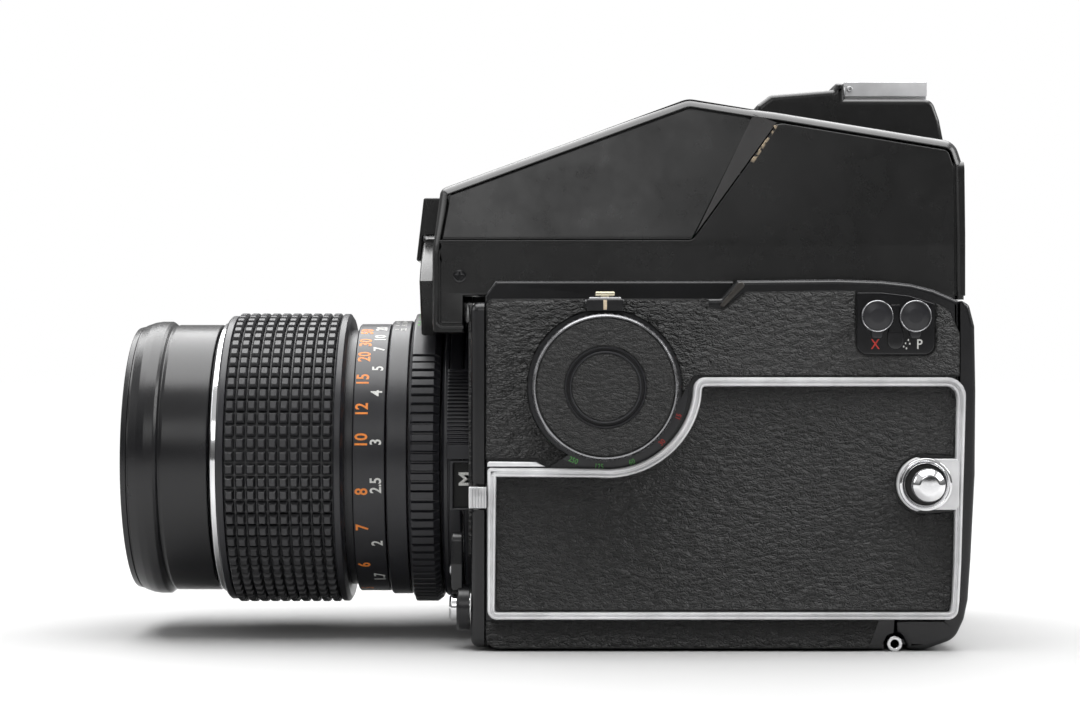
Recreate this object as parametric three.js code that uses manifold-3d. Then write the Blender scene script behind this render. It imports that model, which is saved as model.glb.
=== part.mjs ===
// A medium format single lens reflex camera with a short telephoto lens and a metered prism finder.
//
// Frame, in millimetres: +Z up, the lens points along -Y, and +X is the side on the user's left.
// The origin is on the underside of the base plate, below the optical axis and half way along the body.
import * as THREE from "three";
import { ConvexGeometry } from "three/addons/geometries/ConvexGeometry.js";
import { mergeVertices } from "three/addons/utils/BufferGeometryUtils.js";
import Module from "manifold-3d";

const wasm = await Module();
wasm.setup();

// ---------------------------------------------------------------- driving dimensions

const GAP = 0.3; // clearance between fitted pieces
const AXIS_Z = 40; // height of the optical axis
const FLANGE_Y = -56.5; // lens flange
const FILM_Y = FLANGE_Y + 63.3; // film plane, one register distance behind the flange

const BODY = { front: -54.4, coverFront: -51.4, coverBack: 50.8, back: 54.4, deck: 76.4, rim: 79.8 };
const SIDE = { shell: 40.7, cover: 45.2, leather: 46.0, chrome: 47.0 };
const HINGE = { y: 36.8, z: 1.65, r: 1.65, room: 2.3 };
const DIAL = { y: -25.6, z: 56.9, skirtR: 16.4, baseR: 15.8, topR: 14.5, top: 53.3 };
const LUG = { y: 43.2, z: 36.0, flangeR: 5.7, headR: 3.6, top: 53.0 };
const SYNC = { y0: 28.9, y1: 44.4, z0: 63.9, capR: 3.4, caps: [32.9, 41.0], capZ: 72.0 };
const TIMER = { x: 39.5, z: 8.9, reach: 16.6 };
const WIND = { y: 14, z: 40, r: 15.5, top: -53.2, crankY: 6, crankX: -54.4 };
const MIRROR = { hingeY: 0, hingeZ: 67, length: 50, halfWidth: 25.5 };
const SPOOL = { y: 30, feedZ: 24.2, takeupZ: 57.4, flangeR: 12.4, coreR: 5.5 };
const TRIPOD = { y: -20, holeR: 3.2, bushR: 7 };
const SEGMENTS = 40; // around the lens rings

// Lens rings, as places along the optical axis from the front to the flange.
const LENS = {
  hoodFront: -132.7, hoodLip: -124.8, hoodSleeve: -123.6, hoodBack: -113.2,
  trimFront: -112.7, focusFront: -111.3, gripFront: -109.4, gripBack: -85.4,
  grooveFront: -83.0, scaleFront: -81.2, scaleBack: -73.9,
  depthFront: -73.6, depthBack: -69.0, apertureFront: -68.6, apertureBack: -61.6,
};
const RADIUS = {
  hoodLip: 31.7, hoodSleeve: 30.9, hoodBore: 29.6, front: 29.2, frontTail: 27.5, frontBore: 25.5,
  trim: 31.3, collar: 33.0, grip: 33.6, gripSeat: 31.8, focusBore: 28.0, scale: 31.1,
  depth: 31.8, aperture: 33.5, apertureBore: 29.0, barrel: 28.6, tube: 25.2, tubeBore: 22.6,
  flange: 32.2, mountOuter: 31.8, mountBore: 29.4, element: 22.3,
};

// The finder's side outline.
const FINDER = {
  half: 39.5, floor: 76.7, front: -63.0, noseBack: -56.2, noseFoot: 68.6,
  back: 53.2, backTop: 108.6, peakY: -7, peakZ: 120.2, brow: 100.2, archR: 35.8,
};

// ---------------------------------------------------------------- shape helpers

// A geometry with merged vertices, no collapsed faces and its faces pointing out.
function tidy(geometry) {
  const bare = geometry.clone();
  for (const name of Object.keys(bare.attributes)) if (name !== "position") bare.deleteAttribute(name);
  const merged = mergeVertices(bare, 1e-4);
  const at = merged.attributes.position;
  const corner = (i) => new THREE.Vector3().fromBufferAttribute(at, i);
  const faces = [];
  let volume = 0;
  for (let i = 0; i < merged.index.count; i += 3) {
    const [a, b, c] = [0, 1, 2].map((k) => merged.index.getX(i + k));
    if (a === b || b === c || c === a) continue;
    faces.push([a, b, c]);
    volume += corner(a).dot(corner(b).cross(corner(c)));
  }
  merged.setIndex(faces.flatMap(([a, b, c]) => (volume < 0 ? [a, c, b] : [a, b, c])));
  return merged;
}

function solid(geometry) {
  const { attributes, index } = tidy(geometry);
  const mesh = new wasm.Mesh({
    numProp: 3,
    vertProperties: new Float32Array(attributes.position.array),
    triVerts: new Uint32Array(index.array),
  });
  return new wasm.Manifold(mesh);
}

function geometryOf(manifold) {
  const mesh = manifold.getMesh();
  const geometry = new THREE.BufferGeometry();
  geometry.setAttribute("position", new THREE.BufferAttribute(new Float32Array(mesh.vertProperties), 3));
  geometry.setIndex(new THREE.BufferAttribute(new Uint32Array(mesh.triVerts), 1));
  return geometry;
}

const join = (first, ...rest) => geometryOf(rest.reduce((sum, g) => sum.add(solid(g)), solid(first)));
const cut = (first, ...rest) => geometryOf(rest.reduce((sum, g) => sum.subtract(solid(g)), solid(first)));
const common = (first, second) => geometryOf(solid(first).intersect(solid(second)));

function box([x0, x1], [y0, y1], [z0, z1]) {
  const made = new THREE.BoxGeometry(x1 - x0, y1 - y0, z1 - z0);
  return made.translate((x0 + x1) / 2, (y0 + y1) / 2, (z0 + z1) / 2);
}

// A closed outline through [u, v, radius] corners, each rounded by its radius.
function outline(corners) {
  const shape = new THREE.Shape();
  corners.forEach(([u, v, radius = 0], i) => {
    const here = new THREE.Vector2(u, v);
    const towards = (k) => new THREE.Vector2(...corners[(k + corners.length) % corners.length].slice(0, 2))
      .sub(here).normalize().multiplyScalar(radius).add(here);
    const [start, end] = [towards(i - 1), towards(i + 1)];
    if (i === 0) shape.moveTo(start.x, start.y);
    else shape.lineTo(start.x, start.y);
    if (radius > 0) shape.quadraticCurveTo(u, v, end.x, end.y);
  });
  return shape;
}

function circle(u, v, r) {
  return new THREE.Shape().absarc(u, v, r, 0, 2 * Math.PI);
}

const TO_SIDE = new THREE.Matrix4().makeBasis(
  new THREE.Vector3(0, 1, 0), new THREE.Vector3(0, 0, 1), new THREE.Vector3(1, 0, 0));
const TO_FRONT = new THREE.Matrix4().makeBasis(
  new THREE.Vector3(1, 0, 0), new THREE.Vector3(0, 0, 1), new THREE.Vector3(0, -1, 0));

function extruded(shape, depth, curveSegments) {
  return new THREE.ExtrudeGeometry(shape, { depth, bevelEnabled: false, curveSegments });
}

// A slab between two x planes, from an outline in (y, z).
function sideSlab(shape, [x0, x1], curveSegments = 5) {
  return extruded(shape, x1 - x0, curveSegments).applyMatrix4(TO_SIDE).translate(x0, 0, 0);
}

// A slab between two y planes, from an outline in (x, z).
function frontSlab(shape, [y0, y1], curveSegments = 5) {
  return extruded(shape, y1 - y0, curveSegments).applyMatrix4(TO_FRONT).translate(0, y1, 0);
}

// A slab between two z planes, from an outline in (x, y).
function flatSlab(shape, [z0, z1], curveSegments = 5) {
  return extruded(shape, z1 - z0, curveSegments).translate(0, 0, z0);
}

// A turned piece from [radius, place] points. Rings close on themselves; discs start and end on the axis.
function turned(profile, segments) {
  const points = profile.map(([r, t]) => new THREE.Vector2(r, t));
  if (profile[0][0] > 0) points.push(points[0].clone());
  return new THREE.LatheGeometry(points, segments);
}

const aboutY = (profile, x = 0, z = AXIS_Z, segments = SEGMENTS) =>
  turned(profile, segments).translate(x, 0, z);
const aboutX = (profile, y, z, segments = 24) =>
  turned(profile, segments).rotateZ(-Math.PI / 2).translate(0, y, z);
const aboutZ = (profile, x, y, segments = 24) =>
  turned(profile, segments).rotateX(Math.PI / 2).translate(x, y, 0);

// Straight-sided turned shapes between two places on their axis.
const ring = (outer, inner, a, b) => [[inner, a], [outer, a], [outer, b], [inner, b]];
const disc = (r, a, b) => [[0, a], [r, a], [r, b], [0, b]];

const mirrorX = (geometry) => tidy(geometry.clone().scale(-1, 1, 1));

// ---------------------------------------------------------------- materials

const FINISH = {
  black_paint: [0x1b1b1c, 0.45, 0.2],
  black_anodised: [0x141416, 0.4, 0.4],
  leatherette: [0x1e1e1f, 0.75, 0],
  rubber: [0x17181a, 0.7, 0],
  black_plastic: [0x202022, 0.5, 0],
  chrome: [0xd9d9dc, 0.12, 1],
  steel: [0xa9a9ad, 0.35, 1],
  glass: [0x8fa0b4, 0.05, 0],
  mirror: [0xe2e6ea, 0.03, 1],
  cloth: [0x101010, 0.9, 0],
};

const camera = new THREE.Group();

function add(name, finish, geometry) {
  const [color, roughness, metalness] = FINISH[finish];
  const material = new THREE.MeshStandardMaterial({ color, roughness, metalness });
  const mesh = new THREE.Mesh(tidy(geometry), material);
  mesh.name = name;
  camera.add(mesh);
}

// ---------------------------------------------------------------- body

// The casting that holds the mirror box, the film gate and the film chamber.
function bodyShell() {
  const side = outline([
    [BODY.coverFront, 2.4], [34.2, 2.4], [34.2, 6.7], [46.8, 6.7], [50.6, 11.2], [50.6, 74.4],
    [48.8, BODY.deck], [BODY.coverFront, BODY.deck],
  ]);
  const rails = [-1, 1].map((s) =>
    box([s * SIDE.shell, s * (SIDE.shell - 0.9)].sort((a, b) => a - b), [-48.8, 2.4], [70, BODY.rim - 0.1]));
  const casting = join(sideSlab(side, [-SIDE.shell, SIDE.shell]), ...rails);
  return cut(casting,
    box([-27, 27], [-60, 2.4], [15, 73.9]), // mirror box
    box([-27, 27], [-47.5, -8], [70, 80]), // light path to the screen
    box([-29.4, 29.4], [-49.4, -6.1], [74.2, 80]), // screen seat
    box([-28, 28], [2, 7], [19.2, 60.8]), // film gate
    box([-31, 31], [3.7, 4.9], [12, 68]), // curtain slot
    box([-36.5, 36.5], [FILM_Y, 60], [8.8, 73]), // film chamber
    box([-20, 20], [-40, -2], [0, 8.5])); // room for the tripod bush and the battery
}

// One side cover: an upright panel whose rear upper edge follows the film back.
function coverOutline() {
  const [f, b, low] = [BODY.coverFront, BODY.coverBack, 0.4];
  return outline([
    [f, low, 3], [f, 76, 1.6], [-0.4, 76, 0.4], [3.0, BODY.rim, 0.4], [25, 80], [34, 79.7],
    [40.5, 79], [45.2, 77.8], [b, 75.4, 0.4],
    [b, 11.4, 0.5], [46.8, 6.7, 0.5], [HINGE.y + HINGE.room, 6.7], [HINGE.y + HINGE.room, 3.6],
    [HINGE.y, HINGE.z + HINGE.room], [HINGE.y - HINGE.room, 3.4], [HINGE.y - HINGE.room, low],
  ]);
}

const sideCover = () => sideSlab(coverOutline(), [SIDE.shell, SIDE.cover], 6);

// The left cover has a slot for the lens release.
const leftCover = () => cut(sideCover(), box([43.4, 50], [-60, -49.8], [30.4, 36]));

// A plate across the front with the lens throat and a notch for the lens release.
function frontFrame() {
  const face = outline([[-45.6, 0.7, 2], [45.6, 0.7, 2], [45.6, 75.2, 2], [-45.6, 75.2, 2]]);
  face.holes.push(circle(0, AXIS_Z, 29.6));
  return cut(frontSlab(face, [BODY.front, BODY.coverFront - GAP], 10),
    box([43.4, 50], [-60, -50], [30.4, 36]),
    aboutY(disc(3.5, -60, -50), TIMER.x, TIMER.z, 24));
}

function basePlate() {
  const plate = outline([[-40.4, -51, 4], [40.4, -51, 4], [40.4, 34, 2], [-40.4, 34, 2]]);
  plate.holes.push(circle(0, TRIPOD.y, TRIPOD.bushR + GAP), circle(18, TRIPOD.y + 24, 10.3));
  return flatSlab(plate, [0, 2.2], 8);
}

// A steel bush with a plain hole in place of its thread.
function tripodSocket() {
  const { holeR, bushR, y } = TRIPOD;
  return aboutZ([[0, 7.4], [bushR, 7.4], [bushR, 0.1], [holeR, 0.1], [holeR, 6.4], [0, 6.4]], 0, y);
}

const batteryCover = () => cut(aboutZ(disc(10, 0.1, 2.2), 18, TRIPOD.y + 24),
  box([12, 24], [TRIPOD.y + 23.2, TRIPOD.y + 24.8], [-1, 0.9]));

// ---------------------------------------------------------------- side trim

// The strip that frames the lower panel: an L-shaped panel whose step curls under the shutter dial.
function frameOutline(inset) {
  const [left, right, low, high, step] = [-50.8, 52.0, 6.9, 58.8, 41.0];
  const r = 18.1 + inset;
  const shape = new THREE.Shape();
  const [l, b, t, s] = [left + inset, low + inset, high - inset, step - inset];
  const [start, end] = [259, 354].map(THREE.MathUtils.degToRad);
  const centreZ = DIAL.z + 0.4;
  shape.moveTo(l + 2, b);
  shape.quadraticCurveTo(l, b, l, b + 2);
  shape.lineTo(l, s - 1.6);
  shape.quadraticCurveTo(l, s, l + 1.6, s);
  shape.absarc(DIAL.y, centreZ, r, start, end, false);
  const endY = DIAL.y + r * Math.cos(end);
  shape.quadraticCurveTo(endY, t, endY + 2.2, t);
  shape.lineTo(right - inset - 4, t);
  shape.quadraticCurveTo(right - inset, t, right - inset, t - 4);
  shape.lineTo(right - inset - 1.0, 28);
  shape.lineTo(right - inset - 1.3, b + 4);
  shape.quadraticCurveTo(right - inset - 1.5, b, right - inset - 5, b);
  return shape;
}

// The strip, with the plate of the strap lug inside it.
function chromeFrame() {
  const plate = sideSlab(frameOutline(0), [SIDE.cover, SIDE.chrome], 8);
  const opening = sideSlab(frameOutline(1.7), [SIDE.cover - 1, SIDE.chrome + 1], 8);
  const tab = outline([[LUG.y, 30.5], [51, 30.5], [51, 41.5], [LUG.y, 41.5]]);
  const lugPlate = join(sideSlab(tab, [SIDE.cover, SIDE.chrome]),
    aboutX(disc(LUG.flangeR + 0.4, SIDE.cover, SIDE.chrome), LUG.y, LUG.z));
  const inPanel = common(lugPlate, plate);
  return cut(join(cut(plate, opening), inPanel),
    aboutX(disc(LUG.flangeR - 1, 40, 60), LUG.y, LUG.z));
}

function lowerLeather() {
  const panel = sideSlab(frameOutline(1.7 + 0.2), [SIDE.cover, SIDE.leather], 8);
  const tab = outline([[LUG.y, 30.2], [54, 30.2], [54, 41.8], [LUG.y, 41.8]]);
  return cut(panel, sideSlab(tab, [40, 50]), aboutX(disc(LUG.flangeR + 0.7, 40, 60), LUG.y, LUG.z));
}

function upperLeather() {
  const top = outline([
    [BODY.coverFront, 41.0], [BODY.coverFront, 75.9, 1.6], [0.4, 75.9, 0.5], [3.0, 77.4, 0.5],
    [25, 77.7], [34, 77.4], [40, 76.7], [44.6, 75.5], [48.6, 73.4, 1], [BODY.coverBack, 68.5],
    [BODY.coverBack, 41.0],
  ]);
  const sheet = sideSlab(top, [SIDE.cover, SIDE.leather], 6);
  const syncHole = outline([[SYNC.y0 - 0.2, 82], [SYNC.y0 - 0.2, SYNC.z0 - 0.2, 2.4],
    [SYNC.y1 + 0.2, SYNC.z0 - 0.2, 2.4], [SYNC.y1 + 0.2, 82]]);
  const leather = cut(sheet,
    sideSlab(frameOutline(-0.2), [40, 50], 8),
    sideSlab(syncHole, [40, 50]),
    aboutX(disc(DIAL.skirtR - 1, 40, 60), DIAL.y, DIAL.z),
    box([40, 60], [DIAL.y - 4.2, DIAL.y + 4.2], [74.2, 80]));
  return geometryOf(solid(leather).decompose().sort((a, b) => b.volume() - a.volume())[0]);
}

function stripLeather() {
  const strip = outline([[-51.2, 0.5, 3], [31.2, 0.5, 1.5], [33.4, 6.6], [-51.2, 6.6]]);
  return sideSlab(strip, [SIDE.cover, SIDE.leather]);
}

function rightLeather() {
  const panel = outline([
    [-51.2, 0.6, 3], [-51.2, 75.8, 1.6], [0.4, 75.8], [3.0, 77.4], [25, 77.7], [34, 77.4],
    [40, 76.7], [44.6, 75.5], [50.6, 72.0], [50.6, 10], [46.6, 7], [33.6, 7], [31.2, 0.6],
  ]);
  return cut(mirrorX(sideSlab(panel, [SIDE.cover, SIDE.leather])),
    aboutX(disc(LUG.flangeR + 0.3, -60, -40), LUG.y, LUG.z),
    aboutX(disc(6, -60, -40), WIND.y, WIND.z));
}

function strapLug() {
  const { flangeR, headR, top } = LUG;
  return aboutX([
    [0, SIDE.cover], [flangeR - 1.3, SIDE.cover], [flangeR - 1.3, SIDE.chrome], [flangeR, SIDE.chrome],
    [flangeR, 48.1], [3.0, 47.2], [2.2, 49.6], [headR, 50.2], [headR, 51.6], [headR - 1.2, top], [0, top],
  ], LUG.y, LUG.z);
}

function rightStrapLug() {
  const { headR, top } = LUG;
  return mirrorX(aboutX([
    [0, SIDE.cover], [5.4, SIDE.cover], [5.4, 47.4], [2.4, 47.4], [2.2, 49.6], [headR, 50.2],
    [headR, 51.6], [headR - 1.2, top], [0, top],
  ], LUG.y, LUG.z));
}

function syncPlate() {
  const { y0, y1, z0 } = SYNC;
  const plate = outline([
    [y0, 77.2, 0.3], [y0, z0, 2.2], [y1, z0, 2.2], [y1, 75.2, 0.3], [40, 76.5], [34, 77.2],
  ]);
  return sideSlab(plate, [SIDE.cover, SIDE.leather - 0.1]);
}

// A cap with a short tail on which it turns down off its socket.
function syncCap(y) {
  const { capR, capZ } = SYNC;
  return join(aboutX([[0, 46.1], [capR, 46.1], [capR, 47.7], [capR - 0.4, 48.2], [0, 48.2]], y, capZ, 20),
    box([46.1, 46.9], [y - 1.2, y + 1.2], [capZ - capR - 1.2, capZ - capR + 1]));
}

// ---------------------------------------------------------------- shutter dial

function shutterDial() {
  const { y, z, skirtR, baseR, topR, top } = DIAL;
  return aboutX([
    [0, SIDE.cover + 0.2], [skirtR - 1.4, SIDE.cover + 0.2], [skirtR - 1.4, SIDE.leather + GAP],
    [skirtR, SIDE.leather + GAP], [skirtR - 0.3, 48.2], [baseR, 48.6], [baseR, 49.6], [topR, top],
    [topR - 0.4, top - 0.7], [9.0, top - 0.7], [8.8, top - 1.4], [7.9, top - 1.4], [7.7, top], [0, top],
  ], y, z, SEGMENTS);
}

const dialLeather = () => aboutX(ring(DIAL.topR - 0.6, 9.2, DIAL.top - 0.7, DIAL.top - 0.1),
  DIAL.y, DIAL.z, SEGMENTS);

// The block with the index line reaches out over the edge of the dial's skirt.
function dialIndexBlock() {
  const width = [DIAL.y - 3.9, DIAL.y + 3.9];
  return join(box([SIDE.cover, 50.2], width, [74.5, 75.9]), box([48.9, 50.2], width, [73.3, 75]));
}

const dialLockButton = () => box([47.0, 49.6], [DIAL.y - 1.9, DIAL.y + 1.9], [76.1, 77.3]);

// ---------------------------------------------------------------- front controls

// A lever that turns on the release button's collar.
function selfTimerLever() {
  const { x, z, reach } = TIMER;
  const arm = outline([[x - 2.9, z], [x + 2.9, z], [x + 2.6, z + reach, 2.4], [x - 2.6, z + reach, 2.4]]);
  return cut(join(frontSlab(arm, [-58.2, -56.2]), aboutY(disc(5.0, -57.8, -55.3), x, z, 24)),
    aboutY(disc(3.8, -60, -50), x, z, 24));
}

const releaseButton = () => aboutY([[0, -59.2], [2.3, -59.2], [2.9, -58.7], [2.9, -54.7], [0, -54.7]],
  TIMER.x, TIMER.z, 24);

// The tab wraps round the front edge, so that it can be pulled back over the frame.
const lensRelease = () => flatSlab(outline([
  [43.7, -54.8, 0.4], [48.3, -54.8, 0.6], [48.3, -51.0, 0.3], [47.3, -51.0], [47.3, -52.7], [45.0, -52.7],
  [45.0, -51.7], [43.7, -51.7],
]), [30.9, 35.5], 3);

// ---------------------------------------------------------------- film back

function backDoor() {
  const leaf = outline([
    [39.5, 0.5, 0.6], [43.6, 0.3, 2], [49.9, 2.5, 2.4], [51.9, 6.8, 2], [52.8, 11], [53.4, 19.6],
    [BODY.back, 38],
    [BODY.back, 70, 2.4], [53.2, 74.2, 1.5], [51.0, 75.7, 0.3], [51.0, 10.6, 1], [47.4, 6.4, 0.6],
    [39.5, 6.4, 0.6],
  ]);
  const knuckle = box([-44, 44], [HINGE.y + 1.2, 40], [1.2, 2.6]);
  return join(sideSlab(leaf, [-SIDE.cover, SIDE.cover], 5), knuckle);
}

const doorLeather = () => box([-41, 41], [BODY.back, BODY.back + 0.6], [38, 58]);

// The hinge's tube, which turns with the door.
const hingeTube = () => cut(aboutX(ring(HINGE.r, 0.9, -45.9, 45.9), HINGE.y, HINGE.z, 20),
  box([-44.3, 44.3], [HINGE.y + 0.9, 39.5], [0.9, 2.9]));

const doorLatch = () => box([-8, 8], [BODY.back, BODY.back + 1.7], [62.2, 67.4]);

// ---------------------------------------------------------------- film transport

function filmInsert() {
  const { y, feedZ, takeupZ, flangeR } = SPOOL;
  return cut(box([-35.8, 35.8], [8.6, 49.6], [9.2, 72.6]),
    aboutX(disc(flangeR + 0.9, -33, 33), y, feedZ),
    aboutX(disc(flangeR + 0.9, -33, 33), y, takeupZ),
    box([-33, 33], [y, 60], [feedZ - flangeR, takeupZ + flangeR]));
}

const pressurePlate = () => box([-30, 30], [FILM_Y + 0.3, 8.3], [17, 63]);

function spool(z) {
  const { y, flangeR, coreR } = SPOOL;
  return aboutX([
    [0, -32], [flangeR, -32], [flangeR, -30.8], [coreR, -30.8], [coreR, 30.8], [flangeR, 30.8],
    [flangeR, 32], [0, 32],
  ], y, z);
}

const shutterCurtain = () => box([-30.6, 30.6], [4.1, 4.5], [12.4, 67.6]);

// A milled knob with a recess for the crank's handle.
function windKnob() {
  const { y, z, r, top } = WIND;
  const knob = aboutX([
    [0, -45.4], [5.6, -45.4], [5.6, -46.4], [r, -46.4], [r, -51.6], [r - 1.2, top], [0, top],
  ], y, z, 36);
  return cut(knob,
    aboutX(disc(4.1, -60, -47.6), y + 8.6, z),
    box([-60, -52.2], [WIND.crankY - 2.2, WIND.crankY + 2.2], [z - 4.6, z + 4.6]));
}

// The crank folded on the knob: it turns out about its pivot, and its handle then points outwards.
function windCrank() {
  const { y, z, crankY, crankX } = WIND;
  const arm = outline([
    [crankY - 1.6, z - 3.4, 1], [y + 13, z - 3.4, 3], [y + 13, z + 3.4, 3], [crankY - 1.6, z + 3.4, 1],
  ]);
  return join(sideSlab(arm, [crankX - 0.9, crankX + 0.9]),
    aboutX(disc(3.2, -48.2, crankX + 0.5), y + 8.6, z));
}

// ---------------------------------------------------------------- mirror

// The mirror leans at 45 degrees below its hinge, facing forwards and up.
function mirrorSlab(near, far, halfWidth, a, b) {
  const slab = box([-halfWidth, halfWidth], [-far, -near], [a, b]);
  return slab.rotateX(Math.PI / 4).translate(0, MIRROR.hingeY, MIRROR.hingeZ);
}

const reflexMirror = () => mirrorSlab(3, MIRROR.length - 0.8, MIRROR.halfWidth - 1, 0.2, 1.6);
const mirrorFrame = () => mirrorSlab(-0.5, MIRROR.length, MIRROR.halfWidth, -1.4, 0);

// ---------------------------------------------------------------- lens

// The fixed barrel: the inner tube, the seat of the two rear rings, and the flange collar with its window.
function lensBarrel() {
  const { tube, tubeBore, barrel, flange } = RADIUS;
  const barrelRings = aboutY([
    [tubeBore, -100], [tube, -100], [tube, LENS.depthFront], [barrel, LENS.depthFront],
    [barrel, LENS.apertureBack + GAP], [flange - 0.6, LENS.apertureBack + GAP], [flange, -60.6],
    [flange, FLANGE_Y - GAP], [tubeBore, FLANGE_Y - GAP],
  ]);
  return join(barrelRings, box([29, 34.4], [-59.8, FLANGE_Y - GAP], [29.6, 40.6]));
}

const lensBayonet = () => aboutY(ring(29.0, RADIUS.tubeBore, FLANGE_Y - GAP, -52.2));
const mountRing = () => aboutY(ring(RADIUS.mountOuter, RADIUS.mountBore, FLANGE_Y, BODY.front));

const depthScaleRing = () => aboutY([
  [RADIUS.barrel + 0.2, LENS.depthFront], [RADIUS.depth - 0.4, LENS.depthFront],
  [RADIUS.depth, LENS.depthFront + 0.4], [RADIUS.depth, LENS.depthBack],
  [RADIUS.barrel + 0.2, LENS.depthBack],
]);

const apertureRing = () => aboutY([
  [RADIUS.apertureBore, LENS.apertureFront], [RADIUS.aperture - 1, LENS.apertureFront],
  [RADIUS.aperture, LENS.apertureFront + 0.6], [RADIUS.aperture, LENS.apertureBack - 1],
  [RADIUS.aperture - 1, LENS.apertureBack], [RADIUS.apertureBore, LENS.apertureBack],
]);

// A ribbed slide on the flange collar, on the user's left.
function autoManualLever() {
  const [inner, outer] = [RADIUS.flange + 0.4, RADIUS.flange + 2.2];
  const [low, high] = [5, 37].map(THREE.MathUtils.degToRad);
  const shape = new THREE.Shape();
  shape.absarc(0, AXIS_Z, outer, low, high, false);
  shape.absarc(0, AXIS_Z, inner, high, low, true);
  return frontSlab(shape, [-60.0, -55.0], 14);
}

const focusBarrel = () => aboutY([
  [RADIUS.focusBore, LENS.focusFront], [RADIUS.collar, LENS.focusFront],
  [RADIUS.collar, LENS.gripFront - 0.1], [RADIUS.gripSeat, LENS.gripFront - 0.1],
  [RADIUS.gripSeat, LENS.gripBack + 0.1],
  [RADIUS.grip - 0.1, LENS.gripBack + 0.1], [RADIUS.grip - 0.1, LENS.grooveFront - 0.6],
  [RADIUS.collar - 0.6, LENS.grooveFront], [29.6, LENS.grooveFront], [29.6, LENS.scaleFront],
  [RADIUS.scale, LENS.scaleFront], [RADIUS.scale, LENS.scaleBack], [RADIUS.focusBore, LENS.scaleBack],
]);

const focusGrip = () => aboutY(ring(RADIUS.grip, RADIUS.gripSeat + 0.1, LENS.gripFront, LENS.gripBack));
const focusTrimRing = () =>
  aboutY(ring(RADIUS.trim, RADIUS.focusBore + 0.2, LENS.trimFront, LENS.focusFront));

const frontBarrel = () => aboutY([
  [RADIUS.frontBore, -131.2], [RADIUS.front, -131.2], [RADIUS.front, LENS.hoodBack + 0.1],
  [RADIUS.frontTail, LENS.hoodBack + 0.1], [RADIUS.frontTail, -80], [RADIUS.frontBore, -80],
]);

const frontElement = () => aboutY([
  [0, -124.6], [8, -124.0], [15, -122.4], [RADIUS.element, -119.6], [RADIUS.element, -116], [0, -116],
], 0, AXIS_Z, 32);

// The ring around the front element, between it and the filter thread.
const nameRing = () => aboutY([
  [RADIUS.element + 0.2, -121.5], [RADIUS.frontBore - 0.2, -127.6], [RADIUS.frontBore - 0.2, -117],
  [RADIUS.element + 0.2, -117],
]);

const lensHood = () => aboutY([
  [RADIUS.hoodBore, LENS.hoodFront], [RADIUS.hoodLip - 1.4, LENS.hoodFront],
  [RADIUS.hoodLip - 0.4, LENS.hoodFront + 5], [RADIUS.hoodLip, LENS.hoodLip],
  [RADIUS.hoodSleeve, LENS.hoodSleeve], [RADIUS.hoodSleeve, LENS.hoodBack], [RADIUS.hoodBore, LENS.hoodBack],
]);

// The diaphragm's leaves as one plate with its opening.
const irisPlate = () => aboutY(ring(RADIUS.tubeBore - 0.3, 11, -78.4, -77.6), 0, AXIS_Z, 24);

const rearElement = () => aboutY([[0, -57.5], [10, -58.2], [17.5, -60], [RADIUS.tubeBore - 0.2, -60],
  [RADIUS.tubeBore - 0.2, -64], [0, -64]], 0, AXIS_Z, 32);

// ---------------------------------------------------------------- finder

const FINDER_SIDE = [
  [FINDER.front, FINDER.noseFoot, 1.6], [FINDER.front, 86.0], [-61.3, FINDER.brow, 1.2],
  [FINDER.peakY, FINDER.peakZ, 4], [51.4, 110.6, 2.4], [FINDER.back - 0.3, FINDER.backTop - 2],
  [FINDER.back, FINDER.floor, 0.5], [FINDER.noseBack, FINDER.floor], [FINDER.noseBack, FINDER.noseFoot, 0.5],
];

// The raised seat of the accessory shoe, part of the housing's casting.
const SHOE_SEAT = [
  [7.4, 114], [9.8, 120.8, 1.5], [13.4, 123.4, 1], [26.6, 124.4], [27.4, 124.4], [28.2, 126.0, 0.4],
  [30.0, 126.0, 0.4], [30.2, 122.4], [50.0, 122.4, 1], [51.4, 118.4, 0.8], [52.9, 111.5], [51, 104],
];

// What each flank loses: the upper front panel leans in above a crease and ends in a slanted step.
function flankCut() {
  const outer = FINDER.half + 8;
  const corners = [
    [FINDER.half, -66, 89.0], [outer, -66, 89.0], [FINDER.half, -5.6, 89.6], [outer, -5.0, 89.6],
    [34.6, -66, 126], [outer, -66, 126], [34.6, 12.2, 126], [outer, 20.8, 126],
  ];
  return new ConvexGeometry(corners.map((p) => new THREE.Vector3(...p)));
}

function finderHousing() {
  const hull = sideSlab(outline(FINDER_SIDE), [-FINDER.half, FINDER.half], 6);
  const taper = outline([[-FINDER.half, 60], [FINDER.half, 60], [FINDER.half, 88], [37.4, 118, 2.5],
    [36.4, 130], [-36.4, 130], [-37.4, 118, 2.5], [-FINDER.half, 88]]);
  const inside = outline([
    [-53, 70], [-53, 93], [-51.5, 99.6], [-7, 117.2], [48.5, 107.6], [50.2, 104], [50.5, 70],
  ]);
  const flank = flankCut();
  const shell = join(common(hull, frontSlab(taper, [-70, 60])),
    sideSlab(outline(SHOE_SEAT), [-14, 14], 5));
  return cut(shell, flank, mirrorX(flank),
    box([-10.9, 10.9], [30.3, 49.7], [121.3, 124]), // seat of the shoe's floor
    sideSlab(inside, [-32, 32]),
    aboutY(disc(FINDER.archR, -70, -54), 0, AXIS_Z, 48),
    aboutY(disc(10.4, 40, 60), 0, 92, 24));
}

// A glass block above the screen, with its roof under the housing's peak.
const finderPrism = () => sideSlab(outline([
  [-50.5, 78.6], [13, 78.6], [15, 94], [3, 112.6], [-9, 114.6], [-50.5, 96.6],
]), [-30, 30]);

const eyepieceRing = () => aboutY([
  [10, 53.4], [12.6, 53.4], [12.6, 55.6], [11.6, 56.2], [10, 56.2],
], 0, 92, 24);

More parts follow.
